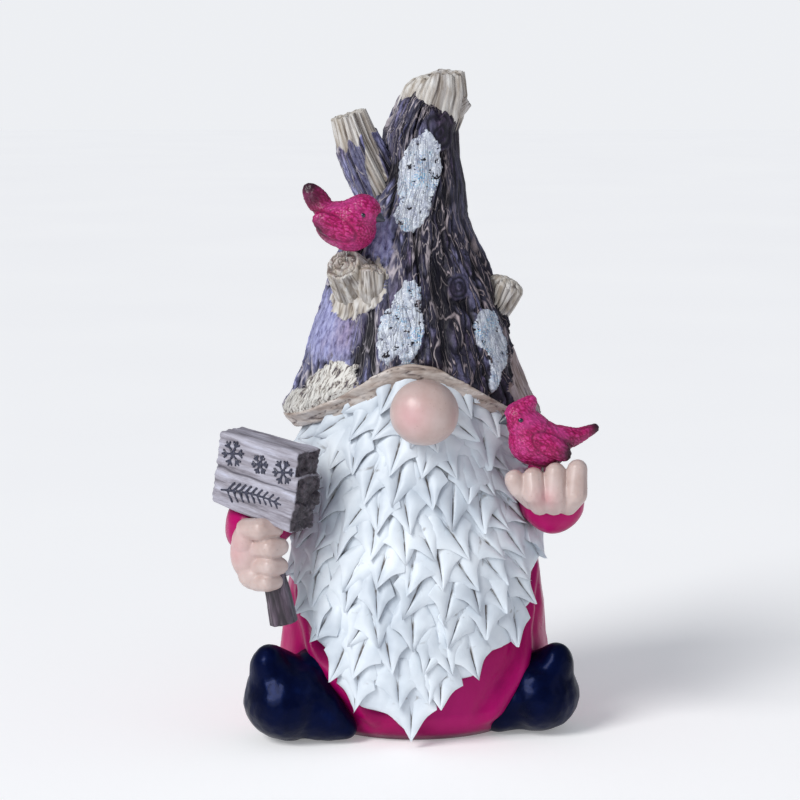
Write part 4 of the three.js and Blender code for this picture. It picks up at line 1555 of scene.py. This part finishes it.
def make_bird(name, parts, coat, details, node):
    """A small bird from its named lumps, with folded wings, then its eyes and beak."""
    bird = bmesh.new()
    for centre, radii, turn in parts["lumps"]:
        ball(bird, centre, radii, turn)
    for points, radii in parts["chains"]:
        chain(bird, points, radii, 9)
    bird = melted(bird, VOXEL["bird"], 4)
    flow = Vector(parts["flow"]).normalized()
    spots = [Vector(spot) for spot in parts["dark"]]
    wing_centre, wing_wide, wing_tall = parts["wing"]

    def wing(point):
        across = (point.x - wing_centre[0]) / wing_wide
        up = (point.z - wing_centre[1] - across * parts["wing_rise"]) / wing_tall
        return math.hypot(across, up) - 1

    def relief(point, _normal):
        return feathers(point, flow, spots, parts["dark_reach"], wing)

    finish_piece(name, pushed(bird, relief, ["crevice", "dark"]), coat, "bird", [node])
    eyes = bmesh.new()
    for centre in parts["eyes"]:
        ball(eyes, centre, (0.95, 0.75, 0.95))
    finish_piece(name + "_eyes", eyes, details["eye"], "bird")
    beak = bmesh.new()
    chain(beak, parts["beak"], [2.1, 0.6], 14)
    finish_piece(name + "_beak", melted(beak, VOXEL["beak"], 1), details["beak"], "bird")


PERCH_BIRD = {
    "lumps": [
        ((-25.6, -28, 188.6), (11.2, 8.4, 8.6), 0.30),
        ((-23.6, -28.6, 187.4), (9.6, 8.4, 8.2), 0.1),
        ((-18.8, -29.5, 193.6), (6.5, 6.3, 6.3), 0.0),
        ((-29.5, -34.4, 188.6), (8.2, 2.6, 4.6), 0.45),
        ((-28.5, -21.6, 188.6), (8.2, 2.6, 4.6), 0.45),
        ((-34.9, -27, 197.0), (8.0, 2.9, 4.3), 0.92),
    ],
    "chains": [
        ([(-23, -29, 190), (-19, -29.4, 193.6)], [8, 6.4]),
        ([(-30.5, -27.5, 191.4), (-34, -27, 195.6)], [4.8, 3.4]),
    ],
    "flow": (0.86, 0, -0.5),
    "dark": [(-38.0, -27, 202.0), (-36.4, -27, 198.6), (-36, -34, 186)],
    "dark_reach": 4.6,
    "wing": ((-29.6, 188.4), 8.4, 4.6),
    "wing_rise": -3.0,
    "eyes": [(-18.8, -35.5, 192.6), (-18.6, -23.4, 192.6)],
    "beak": ((-13.8, -31.0, 191.8), (-11.4, -32.0, 190.6)),
}
CRESTED_BIRD = {
    "lumps": [
        ((44.6, -40, 111.4), (11.0, 8.0, 8.6), 0.42),
        ((41.8, -40.4, 112.2), (8.6, 8.0, 8.8), 0.2),
        ((37.2, -41.3, 121), (5.7, 5.5, 5.7), 0.0),
        ((48.8, -45.6, 110.4), (7.6, 2.4, 4.4), 0.5),
        ((48.8, -34.2, 110.4), (7.6, 2.4, 4.4), 0.5),
    ],
    "chains": [
        ([(41.5, -40.6, 115), (37.6, -41.2, 120.4)], [7.6, 5.7]),
        ([(38.4, -41.2, 123.2), (41.0, -41, 126.2), (41.8, -41, 127.6)], [4.4, 2.7, 1.3]),
        ([(51, -39.4, 112.4), (58.5, -38.4, 113.6), (64.2, -37.6, 116.2)], [5.4, 3.0, 1.9]),
    ],
    "flow": (-0.8, 0, 0.6),
    "dark": [(66, -37.6, 117), (55, -45, 108.2), (50, -40, 104.5)],
    "dark_reach": 4.4,
    "wing": ((49.2, 110.6), 7.8, 4.6),
    "wing_rise": -3.4,
    "eyes": [(37.4, -46.5, 120.4), (37.8, -36.3, 120.4)],
    "beak": ((32.8, -42.0, 120.2), (30.2, -43.0, 119.0)),
}


WIRE_RADIUS = 0.34
TWIST_RADIUS = 0.28  # from the middle of the pair to the middle of each wire
TWIST_STEPS = 60
STEP_TURN = 0.5  # radians that the pair twists from one step to the next


def make_wire(name, start, end, metal, node):
    """A twisted pair of wires that a bird stands on."""
    wire = bmesh.new()
    start, end = Vector(start), Vector(end)
    for strand in range(2):
        for step in range(TWIST_STEPS + 1):
            turn = step * STEP_TURN + strand * math.pi
            aside = TWIST_RADIUS * Vector((math.cos(turn), math.sin(turn), 0))
            ball(wire, start.lerp(end, step / TWIST_STEPS) + aside, (WIRE_RADIUS,) * 3, detail=1)
    finish_piece(name, melted(wire, VOXEL["wire"], 1), metal, "steel", [node])


def make_base(resin, rubber):
    """The base plate and its plug, with their moulded edges rounded."""
    parts = (("base_disc", "base_plate", resin, "resin"), ("hole_plug", "filler_plug", rubber, "rubber"))
    for name, node, coat, slot in parts:
        shape = node_copy(node)
        sharp = [edge for edge in shape.edges if edge.calc_face_angle(0) > math.radians(40)]
        rounded = {"segments": 2, "profile": 0.5, "affect": "EDGES", "material": -1, "clamp_overlap": True}
        bmesh.ops.bevel(shape, geom=sharp, offset=0.35, **rounded)
        finish_piece(name, shape, coat, slot, [node], crease=math.radians(35))


# ------------------------------------------------------------------------------
# Studio
# ------------------------------------------------------------------------------

CAMERA_DISTANCE = 0.9
CAMERA_ELEVATION = math.radians(8)
CAMERA_TARGET = Vector((-0.0056, 0, 0.1212))
FRAME_WIDTH = 0.3  # width of the view at the gnome
SENSOR = 36
SKY_LIGHT = (0.28, 0.30, 0.34)  # what the sky sends to the gnome
SKY_SEEN = (0.85, 0.865, 0.895)  # and what it looks like behind it
FLOOR_GLOW = 0.24
# Each lamp's name, kind, place, strength, colour, and a sun's angle or a panel's width.
LAMPS = [
    ("daylight", "SUN", (-1.05, -1.0, 1.25), 2.05, (1.0, 0.99, 0.97), math.radians(26)),
    ("window", "AREA", (-0.55, -0.7, 0.3), 1.2, (0.90, 0.95, 1.0), 0.35),
    ("reflector", "AREA", (0.8, -0.6, 0.35), 0.5, (1.0, 0.93, 0.92), 0.5),
]


def add_camera():
    """A level camera in front of the gnome and a little above it."""
    camera = bpy.data.objects.new("camera", bpy.data.cameras.new("camera"))
    bpy.context.scene.collection.objects.link(camera)
    back = Vector((0, -math.cos(CAMERA_ELEVATION), math.sin(CAMERA_ELEVATION)))
    camera.location = CAMERA_TARGET + back * CAMERA_DISTANCE
    camera.rotation_euler = (-back).to_track_quat("-Z", "Y").to_euler()
    camera.data.sensor_width = SENSOR
    camera.data.lens = SENSOR * CAMERA_DISTANCE / FRAME_WIDTH
    camera.data.clip_start = 0.01
    bpy.context.scene.camera = camera


def add_lamp(name, kind, place, strength, colour, size):
    """A soft lamp aimed at the gnome's middle. The size is a sun's angle in radians or a panel's width."""
    lamp = bpy.data.lights.new(name, kind)
    lamp.energy = strength
    lamp.color = colour
    if kind == "SUN":
        lamp.angle = size
    else:
        lamp.size = size
    holder = bpy.data.objects.new(name, lamp)
    holder.location = place
    holder.rotation_euler = (CAMERA_TARGET - Vector(place)).to_track_quat("-Z", "Y").to_euler()
    bpy.context.scene.collection.objects.link(holder)


def add_sky():
    """A dim even sky that lights the gnome, and looks near white behind it."""
    world = bpy.data.worlds.new("sky")
    world.use_nodes = True
    tree = world.node_tree
    seen = add(tree, "LightPath").outputs["Is Camera Ray"]
    sky = tree.nodes["Background"]
    feed(sky, Color=mixed(tree, seen, SKY_LIGHT, SKY_SEEN))
    bpy.context.scene.world = world


def add_floor():
    """A wide pale floor that glows a little, so that it stays even up to the sky."""
    floor = bmesh.new()
    bmesh.ops.create_grid(floor, x_segments=1, y_segments=1, size=8)
    mesh = bpy.data.meshes.new("floor")
    floor.to_mesh(mesh)
    floor.free()
    glow = {"Emission_Strength": FLOOR_GLOW, "Emission_Color": (1, 1, 1, 1)}
    pale, tree, shader = paint("floor_pale", Roughness=0.9, Specular_IOR_Level=0.1, **glow)
    shade = ramp(tree, cloud(tree, 3, 2), (0.2, (0.88, 0.88, 0.89)), (0.8, (0.92, 0.92, 0.92)))
    feed(shader, Base_Color=shade)
    mesh.materials.append(pale)
    ground = bpy.data.objects.new("floor", mesh)
    bpy.context.scene.collection.objects.link(ground)


def add_studio():
    """A pale floor and sky, soft daylight from the left, and two lamps that open the shadows."""
    bpy.context.scene.view_settings.view_transform = "Standard"
    add_sky()
    add_floor()
    for lamp in LAMPS:
        add_lamp(*lamp)


# ------------------------------------------------------------------------------
# Assembly
# ------------------------------------------------------------------------------

add_camera()
add_studio()

crimson = coat_paint()
flesh = skin_paint()
navy = boot_paint()
bark = bark_paint()
wood = wood_paint()
wire = wire_metal()

make_coat(crimson)
make_sleeve("sign_arm", SIGN_ARM, [9.5, 10.5, 11.6], crimson, "sign_sleeve")
make_sleeve("bird_arm", BIRD_ARM, [10, 11.2, 11.9], crimson, "bird_sleeve")
make_boot("boot_left", -1, (-45.5, -33), 1.0, navy, "left_boot")
make_boot("boot_right", 1, (44.5, -21), 0.94, navy, "right_boot")
make_beard(leaf_paint())
make_trunk(bark)
make_lip(lip_paint())
make_limbs(bark, wood)
make_nose(flesh)
make_sign_hand(flesh)
make_bird_hand(flesh)
make_board(sign_paint())
make_motif(dark_gloss("motif_ink", (0.008, 0.009, 0.028), 0.4))
make_post(post_paint())
feather_red = bird_paint()
bird_details = {
    "eye": dark_gloss("eye_black", (0.002, 0.003, 0.012), 0.15),
    "beak": dark_gloss("beak_slate", (0.012, 0.016, 0.028), 0.35),
}
make_bird("perched_bird", PERCH_BIRD, feather_red, bird_details, "perch_bird")
make_bird("palm_bird", CRESTED_BIRD, feather_red, bird_details, "crested_bird")
make_wire("perch_wire", (-24.4, -26.5, 166), (-25.2, -27.5, 187), wire, "perch_bird_pin")
make_wire("palm_wire", (46, -40, 91), (45.4, -40, 109), wire, "crested_bird_pin")
make_base(resin_plain(), plug_rubber())
